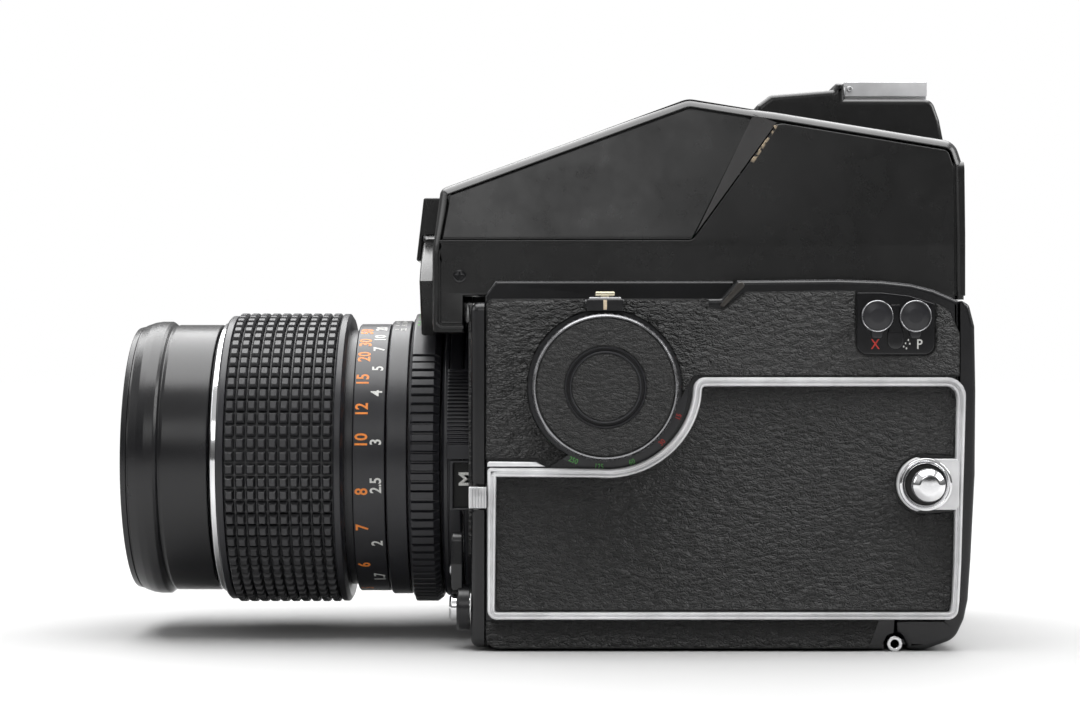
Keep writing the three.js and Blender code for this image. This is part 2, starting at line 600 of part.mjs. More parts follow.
const eyepieceLens = () => aboutY([[0, 51.5], [9.7, 51.5], [9.7, 54.2], [0, 54.9]], 0, 92, 24);

function accessoryShoe() {
  const [y0, y1] = [30.6, 49.4];
  const channel = outline([
    [-9.5, 121.5], [9.5, 121.5], [9.5, 123.3], [10.6, 123.3], [10.6, 126.7], [6.4, 126.7], [6.4, 125.8],
    [9.5, 125.8], [9.5, 123.7], [-9.5, 123.7], [-9.5, 125.8], [-6.4, 125.8], [-6.4, 126.7],
    [-10.6, 126.7], [-10.6, 123.3], [-9.5, 123.3],
  ]);
  return frontSlab(channel, [y0, y1]);
}

// The curved guard below the finder's brow, an arc about the optical axis.
function nosePlate() {
  const sector = new THREE.Shape();
  const half = THREE.MathUtils.degToRad(38);
  sector.absarc(0, AXIS_Z, 51.0, Math.PI / 2 - half, Math.PI / 2 + half, false);
  sector.absarc(0, AXIS_Z, FINDER.archR, Math.PI / 2 + half, Math.PI / 2 - half, true);
  return frontSlab(sector, [-66.2, FINDER.front - GAP], 16);
}

// The meter's coupling arm, which swings about the optical axis with the aperture ring.
function couplingArm() {
  return sideSlab(outline([
    [-66.4, 100.2, 0.4], [-62.7, 100.2], [-63.3, 91.4], [-66.5, 91.4], [-66.8, 85.6], [-68.1, 85.6, 0.3],
  ]), [-7, 7]);
}

// ---------------------------------------------------------------- assembly

add("body_shell", "black_paint", bodyShell());
add("front_frame", "black_paint", frontFrame());
add("left_cover", "black_paint", leftCover());
add("right_cover", "black_paint", mirrorX(sideCover()));
add("base_plate", "black_paint", basePlate());
add("tripod_socket", "steel", tripodSocket());
add("battery_cover", "black_paint", batteryCover());
add("left_leather_upper", "leatherette", upperLeather());
add("left_leather_lower", "leatherette", lowerLeather());
add("left_leather_strip", "leatherette", stripLeather());
add("left_chrome_frame", "chrome", chromeFrame());
add("right_leather", "leatherette", rightLeather());
add("strap_lug_left", "chrome", strapLug());
add("strap_lug_right", "chrome", rightStrapLug());
add("sync_plate", "black_plastic", syncPlate());
add("sync_cap_x", "black_plastic", syncCap(SYNC.caps[0]));
add("sync_cap_bulb", "black_plastic", syncCap(SYNC.caps[1]));
add("shutter_dial", "black_anodised", shutterDial());
add("dial_leather", "leatherette", dialLeather());
add("dial_index_block", "black_paint", dialIndexBlock());
add("dial_lock_button", "steel", dialLockButton());
add("self_timer_lever", "black_paint", selfTimerLever());
add("release_button", "chrome", releaseButton());
add("lens_release", "chrome", lensRelease());
add("back_door", "black_paint", backDoor());
add("door_leather", "leatherette", doorLeather());
add("hinge_tube", "chrome", hingeTube());
add("door_latch", "black_paint", doorLatch());
add("film_insert", "black_plastic", filmInsert());
add("pressure_plate", "black_paint", pressurePlate());
add("feed_spool", "black_plastic", spool(SPOOL.feedZ));
add("takeup_spool", "black_plastic", spool(SPOOL.takeupZ));
add("shutter_curtain", "cloth", shutterCurtain());
add("wind_knob", "black_anodised", windKnob());
add("wind_crank", "chrome", windCrank());
add("reflex_mirror", "mirror", reflexMirror());
add("mirror_frame", "steel", mirrorFrame());
add("focusing_screen", "glass", box([-29.2, 29.2], [-49.2, -6.3], [74.3, 76.2]));
add("mount_ring", "chrome", mountRing());
add("lens_bayonet", "chrome", lensBayonet());
add("lens_barrel", "black_anodised", lensBarrel());
add("depth_scale_ring", "black_anodised", depthScaleRing());
add("aperture_ring", "black_anodised", apertureRing());
add("auto_manual_lever", "black_anodised", autoManualLever());
add("focus_barrel", "black_anodised", focusBarrel());
add("focus_grip", "rubber", focusGrip());
add("focus_trim_ring", "chrome", focusTrimRing());
add("front_barrel", "black_anodised", frontBarrel());
add("front_element", "glass", frontElement());
add("name_ring", "black_anodised", nameRing());
add("lens_hood", "black_anodised", lensHood());
add("iris_plate", "steel", irisPlate());
add("rear_element", "glass", rearElement());
add("finder_housing", "black_paint", finderHousing());
add("finder_prism", "glass", finderPrism());
add("eyepiece_ring", "black_plastic", eyepieceRing());
add("eyepiece_lens", "glass", eyepieceLens());
add("accessory_shoe", "steel", accessoryShoe());
add("nose_plate", "black_paint", nosePlate());
add("coupling_arm", "black_paint", couplingArm());

export default camera;
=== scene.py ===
"""The looks of a medium format single lens reflex camera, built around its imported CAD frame.

Lengths in this script are millimetres until build() turns them into metres. The frame is the CAD one:
+Z up, the lens points along -Y, +X is the side on the user's left.
"""
import math

import bmesh
import bpy
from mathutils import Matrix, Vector
from mathutils.geometry import tessellate_polygon


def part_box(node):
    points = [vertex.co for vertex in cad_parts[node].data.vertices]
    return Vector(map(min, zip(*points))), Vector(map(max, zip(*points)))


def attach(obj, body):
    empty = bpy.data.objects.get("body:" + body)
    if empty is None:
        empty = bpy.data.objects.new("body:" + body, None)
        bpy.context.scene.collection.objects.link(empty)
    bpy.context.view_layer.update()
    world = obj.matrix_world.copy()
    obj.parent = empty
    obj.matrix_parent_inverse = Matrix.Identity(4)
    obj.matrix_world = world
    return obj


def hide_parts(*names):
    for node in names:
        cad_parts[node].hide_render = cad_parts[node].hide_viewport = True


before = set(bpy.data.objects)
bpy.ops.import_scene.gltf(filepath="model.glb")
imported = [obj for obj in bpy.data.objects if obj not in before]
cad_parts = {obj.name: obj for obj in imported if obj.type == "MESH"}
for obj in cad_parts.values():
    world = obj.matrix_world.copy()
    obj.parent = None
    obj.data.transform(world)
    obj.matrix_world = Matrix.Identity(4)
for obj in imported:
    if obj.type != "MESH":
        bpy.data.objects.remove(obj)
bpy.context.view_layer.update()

MM = 0.001
TURN = 2 * math.pi


# ---------------------------------------------------------------- places taken from the frame

def middle(node):
    """The centre of a CAD node's box, in millimetres."""
    return [(low / MM + high / MM) / 2 for low, high in zip(*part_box(node))]


AXIS_Z = middle("lens_hood")[2]
_, DIAL_Y, DIAL_Z = middle("shutter_dial")
_, LUG_Y, LUG_Z = middle("strap_lug_left")
_, WIND_Y, WIND_Z = middle("wind_knob")
TIMER_X, _, TIMER_Z = middle("release_button")
HINGE_Y, HINGE_Z = 36.8, 1.65

# How far out the side covers and the leatherette on them reach.
COVER_FACE, LEATHER_FACE = 45.2, 46.0
# The outer radii of the lens's scale rings, and how far their paint stands out.
FOCUS_R, DEPTH_R, APERTURE_R, PAINT_DEPTH = 31.1, 31.8, 33.5, 0.03
# How many flutes or teeth run round the aperture ring, the shutter dial and the wind knob.
FLUTES, DIAL_TEETH, KNOB_TEETH = 96, 70, 60
# How far out the speeds are painted, and how far from the dial's axis.
SPEED_FACE, SPEED_R = 45.39, 17.2


# ---------------------------------------------------------------- outlines

def fillet(before, here, after, radius, steps):
    """Points of the arc that rounds a corner, or the corner itself."""
    here = Vector(here)
    a, b = Vector(before) - here, Vector(after) - here
    half = a.angle(b) / 2
    if radius <= 0 or half > math.radians(88):
        return [tuple(here)]
    reach = min(radius / math.tan(half), 0.49 * a.length, 0.49 * b.length)
    a.normalize()
    b.normalize()
    centre = here + (a + b).normalized() * (reach / math.cos(half))
    start, end = here + a * reach - centre, here + b * reach - centre
    points = []
    for k in range(steps + 1):
        share = k / steps
        mixed = start.lerp(end, share).normalized() * start.length
        points.append(tuple(centre + mixed))
    return points


def rounded(corners, steps=5, closed=True):
    """A polyline through (u, v, radius) corners, with each corner rounded by its own radius."""
    points = []
    for i, corner in enumerate(corners):
        radius = corner[2] if len(corner) > 2 else 0
        if not closed and i in (0, len(corners) - 1):
            radius = 0
        before, after = corners[i - 1][:2], corners[(i + 1) % len(corners)][:2]
        points += fillet(before, corner[:2], after, radius, steps)
    return points


def circle(u, v, radius, count=48):
    return [(u + radius * math.cos(TURN * k / count), v + radius * math.sin(TURN * k / count))
            for k in range(count)]


def arc(u, v, radius, start, sweep, count):
    """count + 1 points of an arc that starts at an angle and sweeps by another, in degrees."""
    turns = [math.radians(start + sweep * k / count) for k in range(count + 1)]
    return [(u + radius * math.cos(a), v + radius * math.sin(a)) for a in turns]


def area(loop):
    return sum(a[0] * b[1] - b[0] * a[1] for a, b in zip(loop, loop[1:] + loop[:1])) / 2


def inset(loop, amount):
    """The loop moved to its left by amount, or by amount(point) where that is a function."""
    points = []
    for i, here in enumerate(loop):
        here = Vector(here)
        a = (here - Vector(loop[i - 1])).normalized()
        b = (Vector(loop[(i + 1) % len(loop)]) - here).normalized()
        normal = Vector((-a.y - b.y, a.x + b.x))
        if normal.length < 1e-6:
            normal = Vector((-a.y, a.x))
        normal.normalize()
        lean = max(0.35, normal.dot(Vector((-a.y, a.x))))
        distance = amount(tuple(here)) if callable(amount) else amount
        points.append(tuple(here + normal * (distance / lean)))
    return points


# ---------------------------------------------------------------- solids, as (vertices, faces)

def merge(*parts):
    vertices, faces = [], []
    for part_vertices, part_faces in parts:
        base = len(vertices)
        vertices += part_vertices
        faces += [tuple(base + i for i in face) for face in part_faces]
    return vertices, faces


def moved(part, change):
    return [change(*v) for v in part[0]], part[1]


def stacked(rings, closed=False):
    """Faces between rings of equal length, from the first to the last, and round to the first if closed."""
    count = len(rings[0])
    vertices = [v for ring in rings for v in ring]
    pairs = list(zip(range(len(rings)), range(1, len(rings)))) + ([(len(rings) - 1, 0)] if closed else [])
    faces = [(a * count + k, a * count + (k + 1) % count, b * count + (k + 1) % count, b * count + k)
             for a, b in pairs for k in range(count)]
    return vertices, faces


def at(value, point):
    return value(point) if callable(value) else value


def slab(loops, low, high, edge=0.3, steps=3, foot=0.0):
    """A plate between low and high with holes, its upper edges rounded by edge and its lower ones by foot.

    low, high and edge may be functions of a point of the outline.
    """
    loops = [loop if (area(loop) > 0) == (i == 0) else loop[::-1] for i, loop in enumerate(loops)]
    levels = []
    for radius, side in ((foot, -1), (edge, 1)):
        angles = [math.pi / 2 * k / steps for k in range(steps + 1)] if radius else [math.pi / 2]
        level = [(radius, 1 - math.sin(angle), side, 1 - math.cos(angle)) for angle in angles]
        levels += level if side < 0 else level[::-1]
    parts, caps = [], ([], [])
    for loop in loops:
        rings = []
        for radius, inward, side, down in levels:
            flat = inset(loop, lambda point: at(radius, point) * inward) if inward > 1e-6 else loop
            rings.append([(u, v, at(high if side > 0 else low, p) - side * at(radius, p) * down)
                          for (u, v), p in zip(flat, loop)])
        parts.append(stacked(rings))
        caps[0].append(rings[0])
        caps[1].append(rings[-1])
    for rings in caps:
        flat = [v for ring in rings for v in ring]
        triangles = tessellate_polygon([[Vector((u, v, 0)) for u, v, _ in ring] for ring in rings])
        parts.append((flat, [tuple(t) for t in triangles]))
    return merge(*parts)


def turned(profile, segments=128, steps=4, shape=None, closed=True):
    """A turned solid from (radius, place, fillet) corners.

    A shape, as shape(radius, place, angle), gives the radius to use instead.
    """
    points = rounded(profile, steps, closed)
    rings = []
    for k in range(segments):
        angle = TURN * k / segments
        ring = []
        for radius, place in points:
            r = shape(radius, place, angle) if shape else radius
            ring.append((r * math.cos(angle), place, r * math.sin(angle)))
        rings.append(ring)
    vertices = [v for ring in rings for v in ring]
    count = len(points)
    last = count if closed else count - 1
    faces = [(k * count + i, k * count + (i + 1) % count,
              (k + 1) % segments * count + (i + 1) % count, (k + 1) % segments * count + i)
             for k in range(segments) for i in range(last)]
    return vertices, faces


def about_y(part, x=0.0, z=None):
    z = AXIS_Z if z is None else z
    return moved(part, lambda a, t, b: (x + a, t, z + b))


def about_x(part, y, z):
    return moved(part, lambda a, t, b: (t, y + a, z + b))


def about_z(part, x, y):
    return moved(part, lambda a, t, b: (x + a, y + b, t))


def side_slab(loops, x, edge=0.3, **more):
    """A plate from outlines in (y, z), between two places along x, facing the user's left."""
    return moved(slab(loops, x[0], x[1], edge, **more), lambda u, v, w: (w, u, v))


def front_slab(loops, y, edge=0.3, **more):
    """A plate from outlines in (x, z), between two places along y, facing the front."""
    return moved(slab(loops, -y[1], -y[0], edge, **more), lambda u, v, w: (u, -w, v))


def rear_slab(loops, y, edge=0.3, **more):
    return moved(slab(loops, y[0], y[1], edge, **more), lambda u, v, w: (u, w, v))


def flipped(part):
    """The same piece on the other side of the camera."""
    return moved(part, lambda x, y, z: (-x, y, z))


def block(x, y, z, edge=0.3, steps=3):
    """A box between pairs of x, y and z, with rounded edges all round."""
    loop = rounded([(x[0], y[0], edge), (x[1], y[0], edge), (x[1], y[1], edge), (x[0], y[1], edge)], steps)
    return slab([loop], z[0], z[1], edge, steps, edge)


# ---------------------------------------------------------------- pieces

# Points nearer than this are one point.
WELD = 1e-4


def build(name, part, body, finish, replaces=(), smooth=38, weighted=True):
    """Makes a piece from a solid in millimetres, and lets it ride on its body.

    Edges sharper than smooth, in degrees, stay sharp.
    """
    slot, material = finish
    mesh = bpy.data.meshes.new(name)
    mesh.from_pydata([Vector(v) * MM for v in part[0]], [], part[1])
    bm = bmesh.new()
    bm.from_mesh(mesh)
    bmesh.ops.remove_doubles(bm, verts=bm.verts, dist=WELD * MM)
    bmesh.ops.dissolve_degenerate(bm, dist=WELD * MM, edges=bm.edges)
    bmesh.ops.recalc_face_normals(bm, faces=bm.faces)
    for face in bm.faces:
        face.smooth = True
    for edge in bm.edges:
        if len(edge.link_faces) == 2 and edge.calc_face_angle(0) > math.radians(smooth):
            edge.smooth = False
    bm.to_mesh(mesh)
    bm.free()
    mesh.materials.append(material)
    piece = bpy.data.objects.new(name, mesh)
    bpy.context.scene.collection.objects.link(piece)
    if weighted:
        normals = piece.modifiers.new("normals", "WEIGHTED_NORMAL")
        normals.keep_sharp = True
    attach(piece, body)
    if replaces:
        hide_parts(*replaces)


def lettering(text, size, narrow=0.85, bold=0.03):
    """Text as a flat solid in (u, v, w), centred on the origin, its strokes thickened by bold."""
    curve = bpy.data.curves.new("lettering", "FONT")
    curve.body = text
    curve.size = size
    curve.extrude = PAINT_DEPTH
    curve.offset = bold * size / 3
    curve.resolution_u = 3
    curve.align_x, curve.align_y = "CENTER", "CENTER"
    holder = bpy.data.objects.new("lettering", curve)
    bpy.context.scene.collection.objects.link(holder)
    bpy.context.view_layer.update()
    mesh = bpy.data.meshes.new_from_object(holder.evaluated_get(bpy.context.evaluated_depsgraph_get()))
    part = ([(v.co.x * narrow, v.co.y, v.co.z) for v in mesh.vertices],
            [tuple(p.vertices) for p in mesh.polygons])
    bpy.data.objects.remove(holder)
    bpy.data.curves.remove(curve)
    bpy.data.meshes.remove(mesh)
    return part


def on_ring(part, radius, degrees, y):
    """Bends lettering round a lens ring: it reads upwards, and its top points to the front."""
    start = math.radians(degrees)

    def bend(u, v, w):
        angle = start + u / radius
        return ((radius + w) * math.cos(angle), y - v, AXIS_Z + (radius + w) * math.sin(angle))

    return moved(part, bend)


# ---------------------------------------------------------------- materials

def put(tree, kind, inputs=None, **properties):
    node = tree.nodes.new(kind)
    for key, value in properties.items():
        setattr(node, key, value)
    for key, value in (inputs or {}).items():
        if isinstance(value, bpy.types.NodeSocket):
            tree.links.new(value, node.inputs[key])
        else:
            node.inputs[key].default_value = value
    return node


def grey(value, warm=0.0):
    return (value * (1 + warm), value, value * (1 - warm), 1)


def start_material(name):
    """A new material with its output, its shader and the object's own coordinates in millimetres."""
    material = bpy.data.materials.new(name)
    material.use_nodes = True
    tree = material.node_tree
    tree.nodes.clear()
    shader = put(tree, "ShaderNodeBsdfPrincipled")
    output = put(tree, "ShaderNodeOutputMaterial")
    tree.links.new(shader.outputs["BSDF"], output.inputs["Surface"])
    coordinates = put(tree, "ShaderNodeTexCoord").outputs["Object"]
    scaled = put(tree, "ShaderNodeVectorMath", {0: coordinates, 1: (1000, 1000, 1000)}, operation="MULTIPLY")
    return material, tree, shader, scaled.outputs[0]


def noise(tree, vector, scale, detail=3.0, roughness=0.5):
    return put(tree, "ShaderNodeTexNoise", {
        "Vector": vector, "Scale": scale, "Detail": detail, "Roughness": roughness,
    }).outputs["Fac"]


def ramp(tree, value, low, high, to_low=0.0, to_high=1.0):
    return put(tree, "ShaderNodeMapRange", {
        "Value": value, "From Min": low, "From Max": high, "To Min": to_low, "To Max": to_high,
    }).outputs["Result"]


def mix_colour(tree, share, a, b):
    node = put(tree, "ShaderNodeMix", {"Factor": share}, data_type="RGBA")
    for index, value in ((6, a), (7, b)):
        if isinstance(value, bpy.types.NodeSocket):
            tree.links.new(value, node.inputs[index])
        else:
            node.inputs[index].default_value = value
    return node.outputs[2]


def bump(tree, height, distance, strength):
    inputs = {"Height": height, "Distance": distance * MM, "Strength": strength}
    return put(tree, "ShaderNodeBump", inputs).outputs["Normal"]


def calc(tree, operation, a, b=0.5):
    return put(tree, "ShaderNodeMath", {0: a, 1: b}, operation=operation).outputs[0]


def sum_of(tree, a, b, share=1.0):
    return calc(tree, "ADD", a, calc(tree, "MULTIPLY", b, share))


def stretched(tree, vector, factors):
    return put(tree, "ShaderNodeVectorMath", {0: vector, 1: factors}, operation="MULTIPLY").outputs[0]


def painted(name, colour, roughness, smudge=0.1, grain=0.0, specular=0.5, metallic=0.0):
    """Paint or moulded plastic: a fine grain, soft smudges and a slightly uneven gloss."""
    material, tree, shader, place = start_material(name)
    wide = noise(tree, place, 0.06, 4, 0.6)
    fine = noise(tree, place, 9.0, 2)
    shader.inputs["Metallic"].default_value = metallic
    shader.inputs["Specular IOR Level"].default_value = specular
    dark, light = [c * 0.8 for c in colour], [c * 1.25 for c in colour]
    tree.links.new(mix_colour(tree, ramp(tree, wide, 0.35, 0.7), (*dark, 1), (*light, 1)),
                   shader.inputs["Base Color"])
    tree.links.new(ramp(tree, wide, 0.3, 0.7, roughness - smudge / 2, roughness + smudge / 2),
                   shader.inputs["Roughness"])
    if grain:
        tree.links.new(bump(tree, fine, 0.05, grain), shader.inputs["Normal"])
    return material


def near_line(tree, place, start, end, width):
    """1 on the line between two (y, z) points, falling to 0 at width from it."""
    (ay, az), (by, bz) = start, end
    length = math.hypot(by - ay, bz - az)
    along, across = ((by - ay) / length, (bz - az) / length), ((bz - az) / length, -(by - ay) / length)

    def dot(axis):
        flat = put(tree, "ShaderNodeVectorMath", {0: place, 1: (0, *axis)}, operation="DOT_PRODUCT")
        return calc(tree, "SUBTRACT", flat.outputs["Value"], axis[0] * ay + axis[1] * az)

    close = ramp(tree, calc(tree, "ABSOLUTE", dot(across)), width, width * 0.4)
    run = dot(along)
    inside = calc(tree, "MULTIPLY", ramp(tree, run, -0.5, 0.5), ramp(tree, run, length + 0.5, length - 0.5))
    return calc(tree, "MULTIPLY", close, inside)


def finder_paint(metal_edge):
    """Satin black paint with handling marks, rubbed through to brass along one edge."""
    material, tree, shader, place = start_material("finder_paint")
    wide = noise(tree, place, 0.05, 5, 0.62)
    spots = noise(tree, place, 0.35, 4, 0.7)
    fine = noise(tree, place, 7.0, 2)
    paint = mix_colour(tree, ramp(tree, wide, 0.4, 0.64), grey(0.005), grey(0.016))
    rough = ramp(tree, sum_of(tree, wide, spots, 0.5), 0.55, 0.95, 0.3, 0.18)
    worn = near_line(tree, place, *metal_edge, 0.55)
    chips = ramp(tree, noise(tree, place, 0.9, 3, 0.6), 0.44, 0.52)
    bare = calc(tree, "MULTIPLY", worn, chips)
    tree.links.new(mix_colour(tree, bare, paint, (0.62, 0.5, 0.36, 1)), shader.inputs["Base Color"])
    tree.links.new(bare, shader.inputs["Metallic"])
    tree.links.new(rough, shader.inputs["Roughness"])
    tree.links.new(bump(tree, fine, 0.03, 0.35), shader.inputs["Normal"])
    return material


def leatherette(name, wrinkle=1.0, gloss=0.36, fineness=1.0):
    """Pebbled leatherette, its creases drawn out along the camera's length."""
    material, tree, shader, place = start_material(name)
    warp = put(tree, "ShaderNodeTexNoise", {"Vector": place, "Scale": 0.35, "Detail": 3.0}).outputs["Color"]
    shift = put(tree, "ShaderNodeVectorMath", {0: warp, 1: (0.5, 0.5, 0.5)}, operation="SUBTRACT").outputs[0]
    shift = stretched(tree, shift, (2.2, 2.2, 2.2))
    bent = put(tree, "ShaderNodeVectorMath", {0: place, 1: shift}, operation="ADD").outputs[0]
    cells = stretched(tree, bent, (0.8 * fineness, 0.42 * fineness, 0.95 * fineness))
    pebble = put(tree, "ShaderNodeTexVoronoi", {"Vector": cells, "Scale": 1.0, "Smoothness": 0.35},
                 feature="SMOOTH_F1").outputs["Distance"]
    crease = put(tree, "ShaderNodeTexVoronoi", {"Vector": cells, "Scale": 1.9},
                 feature="DISTANCE_TO_EDGE").outputs["Distance"]
    folds = ramp(tree, crease, 0.0, 0.16)
    fine = noise(tree, place, 5.0, 4, 0.6)
    domes = ramp(tree, pebble, 0.0, 0.8, 1.0, 0.0)
    height = sum_of(tree, sum_of(tree, domes, folds, 0.35), fine, 0.25)
    tree.links.new(bump(tree, height, 0.95, wrinkle), shader.inputs["Normal"])
    # The pebble tops are painted lighter than the creases between them, with random tone on top: painted
    # shade in the creases.
    crease_shade_and_tone = ramp(tree, sum_of(tree, domes, fine, 0.6), 0.3, 1.3)
    tree.links.new(mix_colour(tree, crease_shade_and_tone, grey(0.006), grey(0.015, 0.02)), shader.inputs["Base Color"])
    tree.links.new(ramp(tree, fine, 0.3, 0.7, gloss - 0.07, gloss + 0.1), shader.inputs["Roughness"])
    shader.inputs["Specular IOR Level"].default_value = 0.5
    return material


def metal(name, colour, roughness):
    """Bright metal with faint scratches."""
    material, tree, shader, place = start_material(name)
    shader.inputs["Metallic"].default_value = 1.0
    lines = noise(tree, place, 0.8, 4, 0.6)
    wide = noise(tree, place, 0.12, 3)
    dark = [c * 0.86 for c in colour]
    tree.links.new(mix_colour(tree, ramp(tree, wide, 0.3, 0.7), (*dark, 1), (*colour, 1)),
                   shader.inputs["Base Color"])
    tree.links.new(ramp(tree, lines, 0.3, 0.7, roughness * 0.7, roughness * 1.4), shader.inputs["Roughness"])
    return material


def glass(name, film, tint=(0.97, 0.98, 1.0)):
    """Coated glass, whose thin film gives it coloured reflections."""
    material, tree, shader, place = start_material(name)
    dust = noise(tree, place, 0.8, 5, 0.7)
    shader.inputs["Base Color"].default_value = (*tint, 1)
    shader.inputs["Transmission Weight"].default_value = 1.0
    shader.inputs["IOR"].default_value = 1.52
    shader.inputs["Thin Film Thickness"].default_value = film
    shader.inputs["Thin Film IOR"].default_value = 1.38
    tree.links.new(ramp(tree, dust, 0.66, 0.8, 0.0, 0.12), shader.inputs["Roughness"])
    return material


def ink(name, colour):
    """Filled engraving or printed paint, a little uneven."""
    material, tree, shader, place = start_material(name)
    uneven = noise(tree, place, 3.0, 3)
    dull = [c * 0.82 for c in colour]
    tree.links.new(mix_colour(tree, ramp(tree, uneven, 0.35, 0.65), (*dull, 1), (*colour, 1)),
                   shader.inputs["Base Color"])
    shader.inputs["Roughness"].default_value = 0.5
    return material


def mirror_silver():
    material, tree, shader, place = start_material("mirror_silver")
    shader.inputs["Base Color"].default_value = (0.9, 0.91, 0.92, 1)
    shader.inputs["Metallic"].default_value = 1.0
    tree.links.new(ramp(tree, noise(tree, place, 0.5, 5, 0.7), 0.6, 0.8, 0.02, 0.2),
                   shader.inputs["Roughness"])
    return material


PAINT = painted("body_paint", (0.007, 0.007, 0.008), 0.24, 0.08, 0.2)
FINDER = finder_paint(((6.9, 106.2), (12.0, 114.0)))
ANODISED = painted("anodised", (0.016, 0.016, 0.019), 0.32, 0.06, 0.3)
# The step wedge's paint is the finder's black made several times lighter: painted light on its sloping face,
# which catches the light from above.
STEP_PAINTED_LIGHT = painted("step_painted_light", (0.036, 0.035, 0.035), 0.3, 0.1, 0.1)
GLOSS = painted("gloss_black", (0.008, 0.008, 0.009), 0.16, 0.06)
PLASTIC = painted("moulded_black", (0.012, 0.012, 0.013), 0.42, 0.1, 0.5)
DARK = painted("inner_black", (0.004, 0.004, 0.004), 0.7, 0.1, 0.3)
RUBBER = painted("grip_rubber", (0.024, 0.024, 0.026), 0.42, 0.12, 0.4, 0.6)
CLOTH = painted("curtain_cloth", (0.006, 0.006, 0.006), 0.85, 0.05, 1.0, 0.2)
LEATHER = leatherette("leatherette")
FINE_LEATHER = leatherette("dial_leatherette", 0.7, 0.5, 1.25)
CHROME = metal("chrome", (0.86, 0.86, 0.87), 0.09)
STEEL = metal("steel", (0.6, 0.6, 0.61), 0.3)
# The shoe's plating as light grey paint with a little metal in it: its brightness is a painted reflection.
SHOE_PAINTED_REFLECTION = painted("shoe_painted_reflection", (0.7, 0.7, 0.71), 0.35, 0.1, 0, 0.5, 0.3)
# Chrome trim as near-white paint with little metal in it: the white is a painted reflection of the bright
# room, in place of a mirror finish.
TRIM = painted("bright_trim", (0.78, 0.78, 0.79), 0.14, 0.08, 0, 0.5, 0.25)
# Dull metal for the flash caps' rims, and for the thin strips on the covers' and the dial's edges that give
# those edges their painted highlight lines.
EDGE_METAL = metal("metal_edge", (0.34, 0.34, 0.35), 0.25)
GILT = metal("gilt", (0.72, 0.66, 0.5), 0.3)
LENS_GLASS = glass("lens_glass", 420)
REAR_GLASS = glass("rear_glass", 560)
SCREEN = glass("screen_glass", 0, (0.9, 0.92, 0.92))
MIRROR = mirror_silver()
WORN = painted("worn_paint", (0.03, 0.026, 0.022), 0.3, 0.1, 0.3)
CREAM = ink("cream_ink", (0.85, 0.7, 0.5))
WHITE = ink("white_ink", (0.75, 0.75, 0.72))
ORANGE = ink("orange_ink", (0.9, 0.27, 0.04))
GREEN = ink("green_ink", (0.10, 0.42, 0.08))
RED = ink("red_ink", (0.55, 0.03, 0.02))

# A finish is a slot of the CAD and the material that fills it.
BLACK_METAL = "anodised_black", ANODISED
BLACK_PAINT = "anodised_black", PAINT
WHITE_MARKS = "anodised_black", WHITE
BRIGHT = "chrome", CHROME
TRIM_PAINTED_REFLECTION = "chrome", TRIM
COVER = "cover_black", PAINT
FINDER_BLACK = "finder_black", FINDER
REAR_LENS = "glass", REAR_GLASS
SYNC_BLACK = "gloss_black", GLOSS
HIDE = "leatherette", LEATHER
MOULDING = "plastic_black", PLASTIC
DARK_STEEL = "steel", DARK
BARE_STEEL = "steel", STEEL


# ---------------------------------------------------------------- lens

def ring_piece(name, profile, body, finish, replaces=(), segments=160, shape=None):
    build(name, about_y(turned(profile, segments, 4, shape)), body, finish, replaces)


def dome(radius, top, height, slope):
    """The profile of a lens face, from its tip at top to height behind it, where it slopes by degrees."""
    def flat(angle):
        return 1 - math.cos(math.radians(angle))

    return [(radius * math.sin(math.radians(a)) / math.sin(math.radians(slope)),
             top + height * flat(a) / flat(slope)) for a in range(0, slope + 1, 2)]


def hood():
    outer = [(29.6, -132.7, 0.2), (30.2, -132.7, 0.3), (30.5, -131.5, 0.12), (30.3, -131.3),
            (30.3, -131.0), (30.8, -130.85, 0.12), (31.45, -129.0, 1.5), (31.68, -127.4, 2),
            (31.68, -125.3, 0.3), (31.2, -124.7, 0.15), (30.6, -124.2, 0.2), (30.9, -123.4, 0.15),
            (30.9, -113.5, 0.3), (30.5, -113.2)]
    ring_piece("hood_shell", outer + [(29.6, -113.2)], "hood", BLACK_PAINT, ["lens_hood"])


def front_group():
    thread = []
    for k in range(12):
        y = -130.7 + 0.26 * k
        thread += [(25.5, y), (25.75, y + 0.13)]
    ring_piece("front_barrel_shell", [(25.5, -131.0, 0.1), (25.9, -131.2, 0.1), (28.9, -131.2, 0.3),
            (29.2, -130.8, 0.2), (29.2, -113.1, 0.2), (27.5, -113.1), (27.5, -80),
            (25.5, -80)] + thread[::-1], "front_group", BLACK_METAL, ["front_barrel"])
    steps = []
    for k in range(7):
        r, y = 25.2 - 0.37 * k, -127.4 + 0.8 * k
        steps += [(r, y), (r - 0.3, y + 0.15)]
    ring_piece("name_ring_steps", [(25.3, -117), (25.3, -127.6)] + steps + [(22.5, -121.4, 0.2),
            (22.5, -117)], "front_group", ("anodised_black", PLASTIC), ["name_ring"])
    ring_piece("front_lens", dome(22.3, -124.6, 5.0, 36) + [(22.3, -116), (0, -117.5)], "front_group",
            ("glass", LENS_GLASS), ["front_element"])


